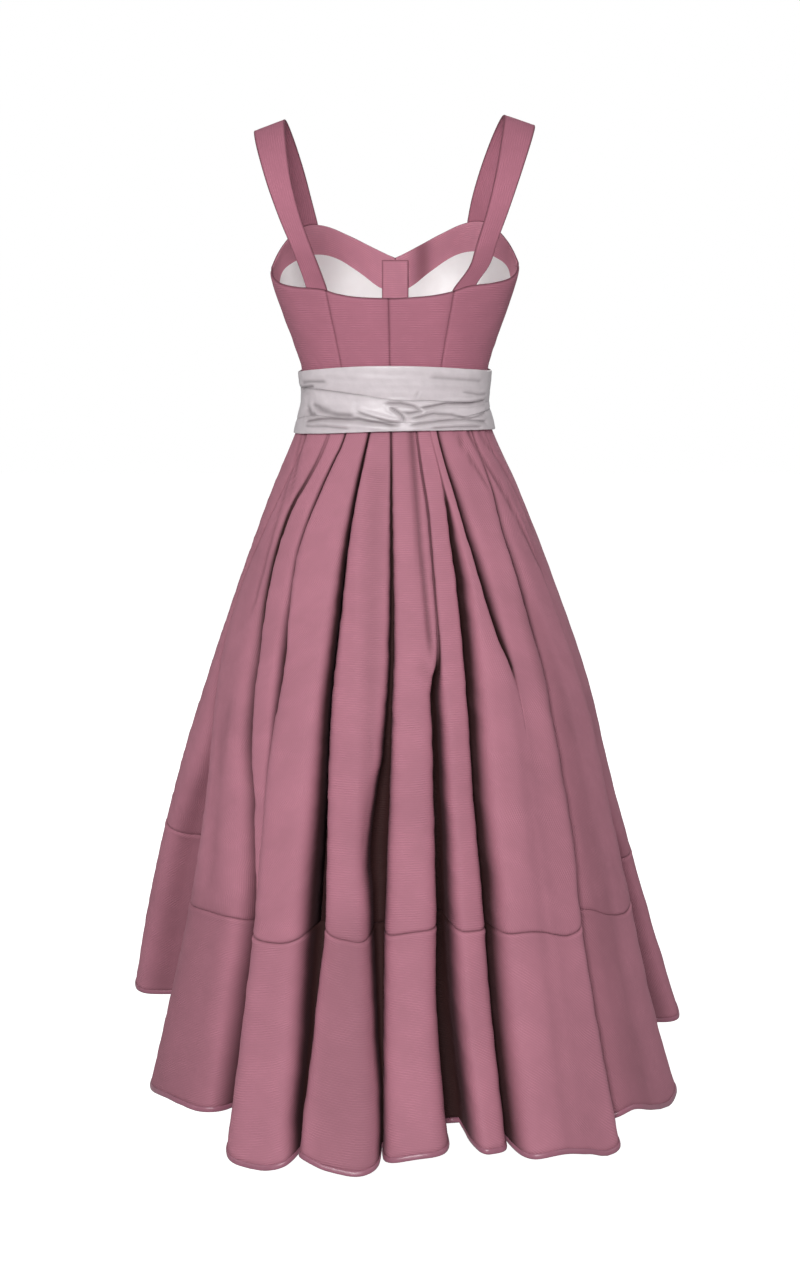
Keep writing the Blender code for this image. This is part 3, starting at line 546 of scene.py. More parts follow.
def bodice_panel(node, start, end, low, high, out, thickness, seed, swell, sewn=True, wrinkle=0.0, cast=None):
    """A panel between two angles and two edges; its edges roll in where it is sewn, with painted shade along
    its sewn and top edges and a painted shadow at the angle cast.
    """
    girth = math.radians(abs(end - start)) * PANEL_RADIUS
    across = spaced(girth, PANEL_PITCH)
    phis = end + (start - end) * across
    tall = float(np.mean(high(phis) - low(phis)))
    phi, share = np.meshgrid(phis, spaced(tall, PANEL_PITCH))
    h = low(phi) + (high(phi) - low(phi)) * share
    run, up = np.broadcast_arrays(across[None, :] * girth, share * tall)
    edges = (run, girth - run, up, tall - up)
    dip = np.minimum(sewn * sum(hump(edge, SEAM_REACH) for edge in edges), 1.0)
    small, large = SWELL_SIZES
    uneven = swell * (ripple(run * SWELL_STRETCH, up, small, seed) + ripple(run, up, large, seed + 1))
    slant = run + WRINKLE_SLANT * (up - WRINKLE_UP)
    pulls = np.sin(2 * math.pi * slant / WRINKLE_PITCH) * hump(up - WRINKLE_UP, WRINKLE_TALL)
    uneven = uneven + wrinkle * pulls * (0.6 + ripple(run, up, 0.03, seed + 2))
    grid = body_point(phi, h, out - SEAM_DIP * dip + uneven * (1 - dip))
    painted_dark = SEAM_SHADE * np.minimum(sewn * sum(hump(edge, SEAM_LINE) for edge in edges[:3]), 1.0)
    painted_dark = painted_dark + TOP_SHADE * sewn * hump(edges[3], TOP_LINE)
    if cast is not None:
        painted_dark = np.maximum(painted_dark, CAST_SHADE * hump(phi - cast, CAST_TURN))
    return cloth(node + "_cloth", grid, thickness, flat_pattern(grid), shade=np.minimum(painted_dark, 1.0))


SEAM_TURN = math.degrees(0.5 * 0.0005 / 0.1)  # half the width between two rolled edges, as an angle
BACK_PANELS = {
    "bodice_back_left": (CENTRE_BACK_SEAM + SEAM_TURN, PRINCESS_LEFT - SEAM_TURN),
    "bodice_back_right": (PRINCESS_RIGHT + SEAM_TURN, CENTRE_BACK_SEAM - SEAM_TURN),
    "bodice_side_left": (PRINCESS_LEFT + SEAM_TURN, 90 - SEAM_TURN),
    "bodice_side_right": (-90 + SEAM_TURN, PRINCESS_RIGHT - SEAM_TURN),
}
for number, (node, (start, end)) in enumerate(BACK_PANELS.items()):
    pull = SIDE_PULL if "side" in node else BACK_PULL
    edges = (start, end, waist_edge, top_edge)
    piece = bodice_panel(node, *edges, 0.0, BODICE_CLOTH, 10 + number, BACK_SWELL, wrinkle=pull)
    hand_over(piece, node, bodice_cotton)

# %% [markdown]
# The front is hidden from the camera, apart from the inside of its cups above the back. It is finished
# plainly: two lower fronts, two cups, a rose facing along the neckline, and the white lining below it.

# %% Bodice front, cups, facing and lining
UNDERBUST_H, UNDERBUST_RISE = 0.084, 0.022  # at the centre front, and how much higher at the sides
UNDERBUST_FROM, UNDERBUST_TURN = 140, 50
FRONT_SWELL, LINING_SWELL, FACING_GAP = 0.2 * MM, 0.05 * MM, 0.0004
FACING_EDGE = (
    # phi, h
    (90, 0.15), (100, 0.153), (112, 0.175), (122, 0.186), (135, 0.196), (146, 0.1965), (156, 0.188),
    (166, 0.17), (174, 0.15), (180, 0.14),
)


def underbust(phi):
    return UNDERBUST_H + UNDERBUST_RISE * smooth_step((UNDERBUST_FROM - np.abs(phi)) / UNDERBUST_TURN)


def facing_edge(phi):
    return column(FACING_EDGE, 1, np.abs(phi))


def moved(edge, by):
    """An edge moved up by a distance."""
    return lambda phi: edge(phi) + by


INSIDE = -BODICE_CLOTH - SEAM_GAP
# painted shadow: a dark band on the right facing where the placket's edge throws its shadow
PLACKET_SHADOW = -169.5  # the placket's edge throws a shadow on the facing at this angle
HALF_SEAM = 0.6 * MM
for number, (side, start, end) in enumerate((("left", 90, 180), ("right", -180, -90))):
    start, end = start + SEAM_TURN, end - SEAM_TURN
    fronts = {
        "bodice_front_" + side: (waist_edge, moved(underbust, -HALF_SEAM), 0.0, BODICE_CLOTH, bodice_cotton),
        "cup_" + side: (moved(underbust, HALF_SEAM), top_edge, 0.0, BODICE_CLOTH, bodice_cotton),
        "facing_" + side: (facing_edge, top_edge, INSIDE, LINING_CLOTH, facing_cotton_painted_light),
        "lining_" + side: (waist_edge, moved(facing_edge, -FACING_GAP), INSIDE, LINING_CLOTH, white_lining),
    }
    for step, (node, (low, high, out, thickness, material)) in enumerate(fronts.items()):
        sewn = out == 0.0
        swell = FRONT_SWELL if sewn else LINING_SWELL
        # painted shadow of the placket on the right facing
        cast = PLACKET_SHADOW if node == "facing_right" else None
        seed = 30 + 4 * number + step
        piece = bodice_panel(node, start, end, low, high, out, thickness, seed, swell, sewn, cast=cast)
        hand_over(piece, node, material)

# %% [markdown]
# Behind the front closing lies a straight rose strip, cut with its ribs across. It bridges the hollow
# between the cups, so it is a nearly flat wall. Painted shade darkens it along its sides and top.

# %% Front placket
PLACKET_HALF_WIDTH, PLACKET_TOP_H, PLACKET_PITCH = 0.018, 0.186, 0.004
PLACKET_SWELL, PLACKET_SHADE, PLACKET_LINE = 0.15 * MM, 0.6, 1.2 * MM
FRONT_REACH = 0.147  # how far the front's half width turns a step across into an angle
tall = PLACKET_TOP_H - WAIST_SEAM_H
heights = WAIST_SEAM_H + SEAM_GAP + spaced(tall, PLACKET_PITCH) * (tall - SEAM_GAP)
across = (1 - 2 * spaced(2 * PLACKET_HALF_WIDTH, PLACKET_PITCH)) * PLACKET_HALF_WIDTH
behind = INSIDE - LINING_CLOTH - SEAM_GAP
turns = 180 - np.degrees(np.arcsin(across / FRONT_REACH))
wall_y = np.array([body_point(turns, np.full(len(turns), h), behind)[:, 1].max() for h in heights])
x, h = np.meshgrid(across, heights)
y = wall_y[:, None] + PLACKET_SWELL * (ripple(x, h, 0.03, 5) + 1)
grid = np.stack([x, y + LINING_CLOTH, h], axis=-1)[::-1, ::-1]
# painted shade along the placket's sides and top edge
from_edge = np.minimum(PLACKET_HALF_WIDTH - np.abs(grid[..., 0]), PLACKET_TOP_H - grid[..., 2])
shade = PLACKET_SHADE * hump(from_edge, PLACKET_LINE)
piece = cloth("front_placket_cloth", grid, LINING_CLOTH, flat_pattern(grid), shade=shade)
hand_over(piece, "front_placket", facing_cotton_painted_light)

# %% [markdown]
# The straps are folded double and pressed flat, four centimetres wide over the shoulder. They start
# inside the back at the princess seams, arch over where the shoulders would be, and end on the cups.
# A pressed edge is thicker and rounder than the middle, so the cloth swells a little along both edges, and
# painted shade darkens both edges.

# %% Straps
STRAP_CLOTH = 0.0022
STRAP_PATH = (
    # inner_x, inner_y, inner_h, outer_x, outer_y, outer_h
    (0.0970, 0.0935, 0.1750, 0.1230, 0.0800, 0.1780),
    (0.1085, 0.0945, 0.2050, 0.1335, 0.0850, 0.2060),
    (0.1225, 0.0895, 0.2450, 0.1485, 0.0830, 0.2430),
    (0.1340, 0.0770, 0.2900, 0.1640, 0.0715, 0.2860),
    (0.1410, 0.0530, 0.3370, 0.1770, 0.0480, 0.3280),
    (0.1445, 0.0200, 0.3650, 0.1835, 0.0170, 0.3520),
    (0.1435, -0.0140, 0.3670, 0.1835, -0.0130, 0.3535),
    (0.1360, -0.0460, 0.3450, 0.1760, -0.0400, 0.3330),
    (0.1250, -0.0680, 0.3070, 0.1640, -0.0560, 0.2980),
    (0.1155, -0.0790, 0.2680, 0.1510, -0.0600, 0.2610),
)
STRAP_ROOT = {"left": (31.0, 43.5), "right": (-26.0, -39.0)}
STRAP_TIP = {"left": (139.0, 117.0), "right": (-142.5, -120.5)}
STRAP_LEAN = {  # how far each row of the path leans in towards the neck, in mm
    "left": (0.0,) * 10,
    "right": (0.0, 2.0, 3.5, 4.0, 2.5, 1.0, 2.0, 4.5, 7.0, 8.5),
}
STRAP_ROOT_LAP, STRAP_ROOT_CLEAR = 0.009, 0.002
STRAP_WIDTH, STRAP_LENGTH = 0.038, 0.50
STRAP_PITCH_ACROSS, STRAP_PITCH_ALONG = 4.0 * MM, 3.5 * MM
# painted shade along both edges of the strap
STRAP_EDGE, STRAP_EDGE_SHADE = 2.5 * MM, 0.60
STRAP_SWELL, STRAP_SEEDS = 0.25 * MM, {"left": 71, "right": 72}
STITCH_IN, STITCH_HALF, STITCH_DEEP = 3.2 * MM, 0.8 * MM, 0.35 * MM  # the row of stitches by each edge


def strap_grid(side):
    """The strap's upper face as rows across it, from inside the back to the cup."""
    sign = 1 if side == "left" else -1
    shares = spaced(STRAP_WIDTH, STRAP_PITCH_ACROSS)

    def on_edge(ends, above, out):
        phi = ends[0] + (ends[1] - ends[0]) * shares
        return body_point(phi, top_edge(phi) + above, np.full(len(phi), out))

    inside = -BODICE_CLOTH - 3 * SEAM_GAP
    stations = [on_edge(STRAP_ROOT[side], above, inside) for above in (-STRAP_ROOT_LAP, STRAP_ROOT_CLEAR)]
    for row, lean in zip(STRAP_PATH, STRAP_LEAN[side]):
        inner_x, outer_x = sign * (row[0] - lean * MM), sign * (row[3] - lean * MM)
        inner = np.array([inner_x, row[1], row[2] - SKEW * inner_x])
        outer = np.array([outer_x, row[4], row[5] - SKEW * outer_x])
        stations.append(inner + (outer - inner) * shares[:, None])
    stations.append(on_edge(STRAP_TIP[side], 4 * SEAM_GAP, 0.0))
    stations = np.array(stations)
    at = np.linspace(0, len(stations) - 1, round(STRAP_LENGTH / STRAP_PITCH_ALONG))
    keys = np.arange(len(stations))
    grid = np.empty((len(at), len(shares), 3))
    for c in range(len(shares)):
        for axis in range(3):
            grid[:, c, axis] = between(keys, stations[:, c, axis], at)
    if side == "left":
        grid, shares = grid[:, ::-1], shares[::-1]
    from_edge = np.minimum(shares, 1 - shares) * STRAP_WIDTH
    edge = hump(from_edge, STRAP_EDGE)[None, :] * np.ones((len(at), 1))
    along = np.linspace(0, STRAP_LENGTH, len(at))[:, None]
    uneven = STRAP_SWELL * ripple(shares[None, :] * STRAP_WIDTH, along, 0.03, STRAP_SEEDS[side])
    stitch = hump(from_edge - STITCH_IN, STITCH_HALF)[None, :]
    grid = grid + out_of(grid) * (uneven * (1 - edge) - STITCH_DEEP * stitch)[..., None]
    return grid, edge


for side in ("left", "right"):
    grid, edge = strap_grid(side)
    flat = flat_pattern(grid)[..., ::-1]  # the strap is cut along the cloth, so its ribs run along it
    # painted shade darkens the strap's edges
    piece = cloth("strap_" + side + "_cloth", grid, STRAP_CLOTH, flat, shade=STRAP_EDGE_SHADE * edge**6)
    hand_over(piece, "strap_" + side, bodice_cotton)

# %% [markdown]
# The skirt is pleated into the waist seam and flares to deep tubes. Each fold is drawn in plan: its
# crown lies on a surface that widens towards the hem, and its feet lie in the valleys on both sides. A
# table to each valley gives its angle, width and depth down the skirt, as pressed pleats near the sash
# loosen into round folds. The crown's curve uses powers of a half turn's sine and cosine, which gives a
# fold steep sides and a full top.

# %% The skirt's valleys
SKIRT_CLOTH, SKIRT_RIM = 0.0018, 0.2
ROUND_SHARE = 0.30  # the plan turns from a soft box to an ellipse down to this share of the height
SKIRT_SECTIONS = (
    # share, left, right, back, front
    (0, 0.1285, 0.128, 0.0925, 0.0975), (0.025, 0.135, 0.1335, 0.0985, 0.104),
    (0.12, 0.169, 0.172, 0.1445, 0.144), (0.26, 0.213, 0.221, 0.201, 0.197),
    (0.42, 0.26, 0.271, 0.261, 0.252), (0.58, 0.303, 0.307, 0.298, 0.296),
    (0.8, 0.351, 0.364, 0.352, 0.348), (1, 0.385, 0.42, 0.425, 0.4),
)
HEM_HEIGHTS = (
    # phi, h, height of the hem band
    (-180, -0.866, 0.262), (-120, -0.868, 0.262), (-95, -0.891, 0.262), (-80, -0.905, 0.258),
    (-66, -0.915, 0.252), (-58, -0.918, 0.25), (-51, -0.901, 0.25), (-46, -0.886, 0.25),
    (-42.2, -0.892, 0.252), (-40, -0.906, 0.256), (-36, -0.911, 0.256), (-32, -0.899, 0.252),
    (-26, -0.887, 0.25), (-18, -0.891, 0.25), (-5, -0.89, 0.252), (6, -0.904, 0.253), (12, -0.9, 0.253),
    (17, -0.893, 0.253), (20, -0.905, 0.257), (26, -0.914, 0.258), (33, -0.91, 0.256), (37, -0.887, 0.24),
    (42, -0.884, 0.236), (50, -0.888, 0.238), (62, -0.904, 0.244), (72, -0.886, 0.256),
    (80, -0.864, 0.262), (91, -0.857, 0.262), (120, -0.86, 0.262), (180, -0.866, 0.262),
)
VALLEYS = (
    # One table to a valley, with rows of share, angle, half width and depth in millimetres.
    ((0, -174, 1, 4), (0.26, -173, 1.5, 14), (0.54, -171, 3, 34), (1, -172, 6, 58)),
    ((0, -156, 1, 4), (0.26, -154, 1.5, 12), (0.54, -152, 4, 36), (1, -151, 10, 62)),
    ((0, -139, 1, 4), (0.26, -138, 1.5, 16), (0.54, -136, 3, 40), (1, -133, 6, 70)),
    ((0, -121, 1, 4), (0.26, -119, 1.5, 14), (0.54, -116, 6, 36), (1, -115, 14, 66)),
    ((0, -98, 1, 4), (0.26, -100, 1.5, 12), (0.54, -98, 5, 34), (1, -98, 8, 60)),
    (
        (0, -66, 1, 4), (0.1, -67.4, 1.5, 8), (0.26, -68, 3, 14), (0.44, -69, 6, 30), (0.6, -71, 20, 46),
        (0.7, -75, 46, 54), (0.8, -76, 62, 60), (0.9, -76, 68, 66), (1, -77, 74, 70),
    ),
    (
        (0, -50, 1, 4), (0.1, -48.6, 1.2, 8), (0.16, -47.6, 2.5, 24), (0.22, -48.6, 4.5, 34),
        (0.27, -48.6, 6, 40), (0.32, -48, 5.5, 44), (0.37, -47.2, 3, 46), (0.42, -45.6, 2.5, 48),
        (0.5, -45, 2, 50), (0.6, -44.3, 2, 52), (0.7, -42.2, 2.5, 56), (0.85, -41.2, 3, 60),
        (1, -40.8, 3, 62),
    ),
    (
        (0, -22.5, 1, 5), (0.045, -23.6, 1.2, 10), (0.07, -24.6, 1.8, 16), (0.1, -26.1, 2.6, 22),
        (0.13, -27.4, 3.4, 28), (0.16, -28.6, 3.8, 32), (0.19, -30, 4.4, 34), (0.22, -31.1, 5, 35),
        (0.25, -32, 5, 34), (0.28, -32.7, 4.6, 30), (0.31, -33.4, 4, 22), (0.33, -33.9, 2.6, 14),
        (0.35, -34.2, 1.5, 6), (0.38, -34.4, 1, 1.5), (0.45, -33.8, 1, 0), (0.54, -33, 1, 0),
        (1, -31, 1, 0),
    ),
    (
        (0, -17.5, 0.6, 1), (0.1, -20.5, 0.8, 3), (0.13, -21.9, 1, 12), (0.17, -22.6, 2.2, 24),
        (0.2, -23.3, 3, 30), (0.23, -23.8, 3.8, 34), (0.26, -23.7, 3.8, 38), (0.31, -23.4, 4, 42),
        (0.36, -22.6, 3.5, 44), (0.42, -21.9, 2.8, 46), (0.5, -21.2, 2.2, 48), (0.6, -21.1, 2.6, 50),
        (0.64, -21.2, 3.4, 52), (0.7, -20.9, 2.6, 54), (0.8, -20.4, 2.2, 58), (1, -20.3, 2, 60),
    ),
    (
        (0, -10.3, 0.8, 4), (0.07, -11.5, 0.9, 5), (0.125, -12.9, 0.9, 5), (0.18, -13.4, 0.9, 5),
        (0.235, -13.8, 0.9, 5), (0.3, -13.9, 1.2, 5), (0.345, -13.2, 2.5, 10), (0.365, -12.5, 4, 30),
        (0.39, -12.1, 4.8, 44), (0.44, -12.1, 5.2, 48), (0.52, -11.9, 6.4, 52), (0.58, -12, 7.4, 56),
        (0.63, -11.8, 7.8, 62), (0.69, -11.7, 8.2, 70), (0.8, -11.1, 11.2, 78), (0.87, -11.3, 12.8, 82),
        (0.95, -11.8, 14.5, 84), (1, -12.2, 15, 84),
    ),
    (
        (0, 1.5, 0.4, 5), (0.07, 1.2, 0.5, 8), (0.11, 1.2, 0.6, 12), (0.165, 1.1, 1.1, 18),
        (0.22, 1, 1.5, 22), (0.3, 1, 2.6, 28), (0.355, 1.2, 3, 32), (0.4, 1.7, 4, 38),
        (0.44, 2.1, 5.4, 44), (0.47, 2.4, 6, 48), (0.5, 3.1, 8.5, 52), (0.55, 3.9, 11.5, 56),
        (0.6, 4.5, 12.8, 60), (0.63, 4.4, 12.3, 62), (0.66, 4.1, 10.3, 62), (0.71, 4, 8.6, 62),
        (0.79, 3.5, 6, 62), (0.86, 3.1, 4, 60), (0.92, 2.6, 1.5, 58), (1, 2.5, 1.5, 56),
    ),
    (
        (0, 11.6, 0.8, 5), (0.04, 13.8, 0.8, 8), (0.07, 15.2, 1, 10), (0.12, 17.3, 1, 14),
        (0.175, 19.1, 1.2, 18), (0.225, 19.9, 1.7, 22), (0.28, 20.3, 2, 26), (0.335, 20.5, 2, 30),
        (0.39, 20.5, 2.1, 34), (0.44, 20, 2.3, 38), (0.5, 19.4, 3, 44), (0.55, 18.9, 4.4, 50),
        (0.6, 18.5, 6.3, 54), (0.65, 18.3, 7.8, 58), (0.714, 17.9, 9.2, 60), (0.8, 18.1, 7, 62),
        (0.87, 18.1, 5.6, 62), (0.95, 18.6, 4.2, 60), (1, 18.4, 1.5, 58),
    ),
    (
        (0, 25.8, 0.8, 5), (0.037, 28.4, 0.8, 8), (0.055, 30.9, 1, 10), (0.083, 33.9, 1.2, 12),
        (0.11, 36.1, 1.3, 14), (0.139, 38.4, 1.4, 16), (0.168, 40, 1.3, 17), (0.194, 40.8, 1.4, 18),
        (0.22, 40.6, 1.6, 19), (0.247, 40, 1.8, 22), (0.29, 39.1, 3, 30), (0.32, 38.1, 4.8, 34),
        (0.35, 37.4, 5.2, 36), (0.375, 36.9, 4.6, 36), (0.4, 36.5, 4, 34), (0.43, 36.1, 2.8, 30),
        (0.46, 35.5, 2.2, 26), (0.5, 35, 2, 24), (0.55, 34.1, 2, 26), (0.6, 33.5, 1.5, 30),
        (0.66, 33, 1.4, 40), (0.74, 33, 1.2, 60), (0.85, 33.6, 2, 70), (1, 34.4, 2, 70),
    ),
    (
        (0, 37.5, 1.5, 2), (0.05, 40.8, 3, 4), (0.09, 45.8, 3.5, 6), (0.13, 52, 4.5, 8),
        (0.17, 54.4, 5, 10), (0.21, 55.2, 5.5, 13), (0.27, 54, 6, 18), (0.33, 51.4, 7, 30),
        (0.36, 50.2, 7.8, 38), (0.39, 49.5, 8.2, 42), (0.415, 48.4, 8.8, 46), (0.444, 47.1, 9.2, 48),
        (0.473, 45.6, 8.6, 50), (0.5, 43.9, 7.6, 52), (0.525, 41.9, 6.6, 52), (0.55, 40, 6, 52),
        (0.58, 39, 5, 52), (0.61, 37.8, 4, 54), (0.665, 36, 4, 58), (0.74, 35, 5, 64),
        (0.83, 35.6, 5, 70), (0.91, 36.4, 3.5, 74), (1, 37.2, 2.5, 74),
    ),
    (
        (0, 60, 1, 4), (0.1, 66, 1.5, 6), (0.16, 72, 2, 7), (0.26, 80, 3, 8), (0.36, 79.5, 5, 14),
        (0.44, 73, 10, 26), (0.49, 69, 14, 34), (0.55, 67.5, 26, 42), (0.62, 68.5, 44, 50),
        (0.7, 70, 62, 56), (0.8, 71.5, 72, 64), (0.9, 73.5, 76, 70), (1, 76, 80, 75),
    ),
    ((0, 88, 1, 4), (0.26, 99, 2, 14), (0.54, 108, 5, 36), (1, 112, 10, 62)),
    ((0, 107, 1, 4), (0.26, 116, 1.5, 16), (0.54, 124, 4, 40), (1, 129, 6, 70)),
    ((0, 127, 1, 4), (0.26, 134, 1.5, 14), (0.54, 141, 4, 36), (1, 147, 10, 60)),
    ((0, 147, 1, 4), (0.26, 153, 1.5, 14), (0.54, 158, 4, 38), (1, 166, 6, 66)),
)
CROWNS = (
    # how far the fold after each valley stands out, in the middle and at the hem, in millimetres
    (6, 10), (-4, -8), (10, 12), (0, -4), (0, -2), (20, 14), (30, 38), (30, 38), (0, 0), (-4, -4),
    (-4, 16), (20, 22), (0, -45), (0, 0), (0, 2), (4, 6), (-4, -8), (6, 10), (0, 0),
)
# How dark the painted shade in each valley is, from the narrow closed ones to the wide open ones at the
# sides.
VALLEY_GLOOM = (0.8,) * 5 + (0.35,) + (1.0,) * 8 + (0.35,) + (0.8,) * 4
CROWN_LEVELS = (0.0, 0.54, 1.0)
FOLD_SIDE_POWER, FOLD_CROWN_POWER = 0.55, 0.44
# painted shade in the valleys: where it starts and is full down a fold's side, and the valley depth it needs
SHADOW_EDGE, SHADOW_FULL, SHADOW_DEPTH = 0.06, 0.60, 0.009
FOLD_COUNT = len(VALLEYS)


def skirt_ring(phi, share):
    """The surface over the folds' crowns, seen in plan."""
    sides = [column(SKIRT_SECTIONS, number, share) for number in (1, 2, 3, 4)]
    roundness = BODY_ROUNDNESS + (2 - BODY_ROUNDNESS) * smooth_step(share / ROUND_SHARE)
    return np.stack(soft_box(phi, *sides, roundness), axis=-1)


def hem_height(phi, number=1):
    """The hem's height at angles round it, or with number 2 the height of the band above it."""
    return column(HEM_HEIGHTS, number, (phi + 180) % 360 - 180)


def skirt_h(phi, share):
    return WAIST_SEAM_H + (hem_height(phi) - WAIST_SEAM_H) * share


def band_share(fold, places):
    """Where the hem band starts, as a share of the skirt's height, at places across a fold."""
    start, end = VALLEYS[fold][-1][1], VALLEYS[(fold + 1) % FOLD_COUNT][-1][1]
    phi = start + (end - start) % 360 * places
    hem = hem_height(phi)
    return (hem + hem_height(phi, 2) - WAIST_SEAM_H) / (hem - WAIST_SEAM_H)


def valley(number, share):
    """A valley's angle, half width and depth at shares of the skirt's height."""
    table = VALLEYS[number % FOLD_COUNT]
    angle, half, deep = [column(table, number, share) for number in (1, 2, 3)]
    return angle, half * MM, np.maximum(0.0, deep) * MM


def crown_stand(number, share):
    middle, hem = CROWNS[number % FOLD_COUNT]
    return between(CROWN_LEVELS, (0.0, middle, hem), share) * MM


def fold_points(fold, places, share):
    """One fold's outer face with, at each point, its angle and the painted shade of the valley beside it."""
    before_angle, before_half, before_deep = valley(fold, share)
    after_angle, after_half, after_deep = valley(fold + 1, share)
    stand_before, stand, stand_after = [crown_stand(fold + step, share) for step in (-1, 0, 1)]
    after_angle = after_angle + np.where(after_angle < before_angle, 360, 0)
    turn = math.pi * places
    sideways = -power_of(np.cos(turn), FOLD_SIDE_POWER)
    crown = np.maximum(0.0, np.sin(turn)) ** FOLD_CROWN_POWER
    reach = np.linalg.norm(skirt_ring(0.5 * (before_angle + after_angle), share), axis=-1)
    start = before_angle + np.degrees(before_half / reach)
    end = after_angle - np.degrees(after_half / reach)
    phi = 0.5 * (start + end) + sideways * 0.5 * (end - start)
    across = (phi - start) / (end - start)
    foot_before = 0.5 * (stand + stand_before) - before_deep
    foot_after = 0.5 * (stand + stand_after) - after_deep
    foot = foot_before + (foot_after - foot_before) * smooth_step(across)
    ring = skirt_ring(phi, share)
    stands = foot + (stand - foot) * crown
    flat = ring * (1 + stands / np.linalg.norm(ring, axis=-1))[..., None]
    gloom = np.where(across > 0.5, VALLEY_GLOOM[(fold + 1) % FOLD_COUNT], VALLEY_GLOOM[fold])
    shadow = gloom * smooth_step((1 - crown - SHADOW_EDGE) / (SHADOW_FULL - SHADOW_EDGE))
    shadow = shadow * smooth_step((stand - foot) / SHADOW_DEPTH)
    return np.concatenate([flat, skirt_h(phi, share)[..., None]], axis=-1), phi, shadow


print("folds round the skirt:", FOLD_COUNT)

# %% [markdown]
# The panels, the band and the binding are cut from one ring of folds, so their edges meet exactly. The
# rows are closer together beside the seam of the band, where the cloth rolls in on both sides.

# %% Lay out the ring of folds
FOLD_COLUMNS, UPPER_ROWS, BAND_ROWS = 36, 84, 34
UPPER_LENGTH, BAND_LENGTH = 0.60, 0.255
# painted shade on faces turned from the light, with these soft starts
SHADE_TURN, SHADE_RISE = 4.0, 0.06  # how softly a shaded face begins, in degrees and metres
SOFT_SHADES = (
    # painted shade on the faces that look away from the light: angles from and to, heights from and to, how
    # dark
    (-55.0, -39.5, -0.98, -0.22, 0.26),
    (38.0, 74.0, -0.98, -0.60, 0.20),
    (1.0, 17.0, -0.98, -0.60, 0.20),
)
near_seam = np.array([0.0, 0.0008, 0.0016, 0.0026, 0.0040, 0.0060, 0.0085])
above, below = near_seam / UPPER_LENGTH, near_seam / BAND_LENGTH
upper_rows = np.concatenate([np.linspace(0, 1 - above[-1], UPPER_ROWS, endpoint=False), 1 - above[::-1]])
band_rows = np.concatenate([below, np.linspace(below[-1], 1, BAND_ROWS)[1:]])
places = np.linspace(0, 1, FOLD_COLUMNS + 1)
folds = []
for fold in range(FOLD_COUNT):
    starts = band_share(fold, places)
    shares = np.concatenate([upper_rows[:, None] * starts, starts + band_rows[1:, None] * (1 - starts)])
    folds.append(fold_points(fold, places[None, :], shares))
skirt, skirt_phi, skirt_shade = [np.concatenate(part, axis=1) for part in zip(*folds)]
for low_phi, high_phi, low_h, high_h, painted_dark in SOFT_SHADES:
    painted_dark = painted_dark * within(skirt_phi, low_phi, high_phi, SHADE_TURN)
    skirt_shade = np.maximum(skirt_shade, painted_dark * within(skirt[..., 2], low_h, high_h, SHADE_RISE))
seam_row = len(upper_rows) - 1
print("skirt grid:", skirt.shape[0], "rows of", skirt.shape[1], "points")

# %% [markdown]
# Between the deep valleys the cloth keeps smaller marks: pleats that were pressed at the waist and open
# out lower down, a soft ridge where the cloth was folded for storing, and a dent above the opening of a
# fold. Each is a line down the skirt with a shallow groove, or a ridge, along it, and most grooves
# carry painted shade.

# %% Smaller creases of the skirt
SKIRT_CREASES = (
    # depth and half width in mm, how dark its painted shade is, and its points as share of the height and
    # angle
    (3.0, 3.5, 0.50, ((0.00, -7.9), (0.09, -8.2), (0.17, -9.0), (0.23, -10.2), (0.34, -11.5))),
    (2.5, 4.0, 0.45, ((0.00, -45.0), (0.03, -47.0), (0.09, -54.5), (0.17, -61.8), (0.26, -67.0))),
    (2.0, 3.0, 0.40, ((0.00, -33.0), (0.02, -35.0), (0.07, -41.8), (0.12, -46.6))),
    (1.5, 4.0, 0.25, ((0.00, -56.0), (0.03, -58.0), (0.08, -72.0), (0.20, -80.0))),
    (2.0, 4.0, 0.40, ((0.00, 64.0), (0.05, 61.0), (0.09, 57.2), (0.13, 54.0))),
    (1.5, 4.0, 0.30, ((0.00, 70.0), (0.04, 66.0), (0.10, 62.0), (0.20, 61.0), (0.30, 60.0))),
    (-2.5, 9.0, 0.00, ((0.05, 13.0), (0.20, 13.6), (0.30, 12.2), (0.41, 11.0), (0.58, 9.6))),
    (1.8, 11.0, 0.16, ((0.04, 6.5), (0.20, 7.6), (0.36, 7.0), (0.50, 6.6), (0.62, 6.6))),
    (1.2, 3.0, 0.22, ((0.40, 9.0), (0.44, 6.6), (0.48, 4.6))),
    (4.5, 7.0, 0.35, ((0.325, -6.8), (0.35, -9.4), (0.375, -12.0))),
    (-3.0, 14.0, 0.00, ((0.30, -31.0), (0.50, -29.0), (0.80, -27.0), (1.00, -26.0))),
    (2.5, 12.0, 0.22, ((0.44, -49.0), (0.60, -49.0), (0.80, -47.0), (1.00, -46.0))),
    (2.0, 10.0, 0.20, ((0.40, 60.0), (0.55, 53.0), (0.75, 45.0), (1.00, 46.0))),
)
CREASE_FADE = 0.04


def skirt_creases(phi, share):
    """How far the smaller creases sink the cloth, and the painted shade along them."""
    sunk, painted_dark = np.zeros(phi.shape), np.zeros(phi.shape)
    phi = (phi + 180) % 360 - 180
    reach = np.linalg.norm(skirt_ring(phi, share), axis=-1)
    for depth, half, shade, points in SKIRT_CREASES:
        first, last = points[0][0], points[-1][0]
        away = np.radians(phi - column(points, 1, share)) * reach
        start = 1.0 if first == 0 else smooth_step((share - first) / CREASE_FADE)
        end = 1.0 if last == 1 else smooth_step((last - share) / CREASE_FADE)
        groove = hump(away, half * MM) * start * end
        sunk += depth * MM * groove
        painted_dark = np.maximum(painted_dark, shade * groove)
    return sunk, painted_dark


print("smaller creases in the skirt:", len(SKIRT_CREASES))

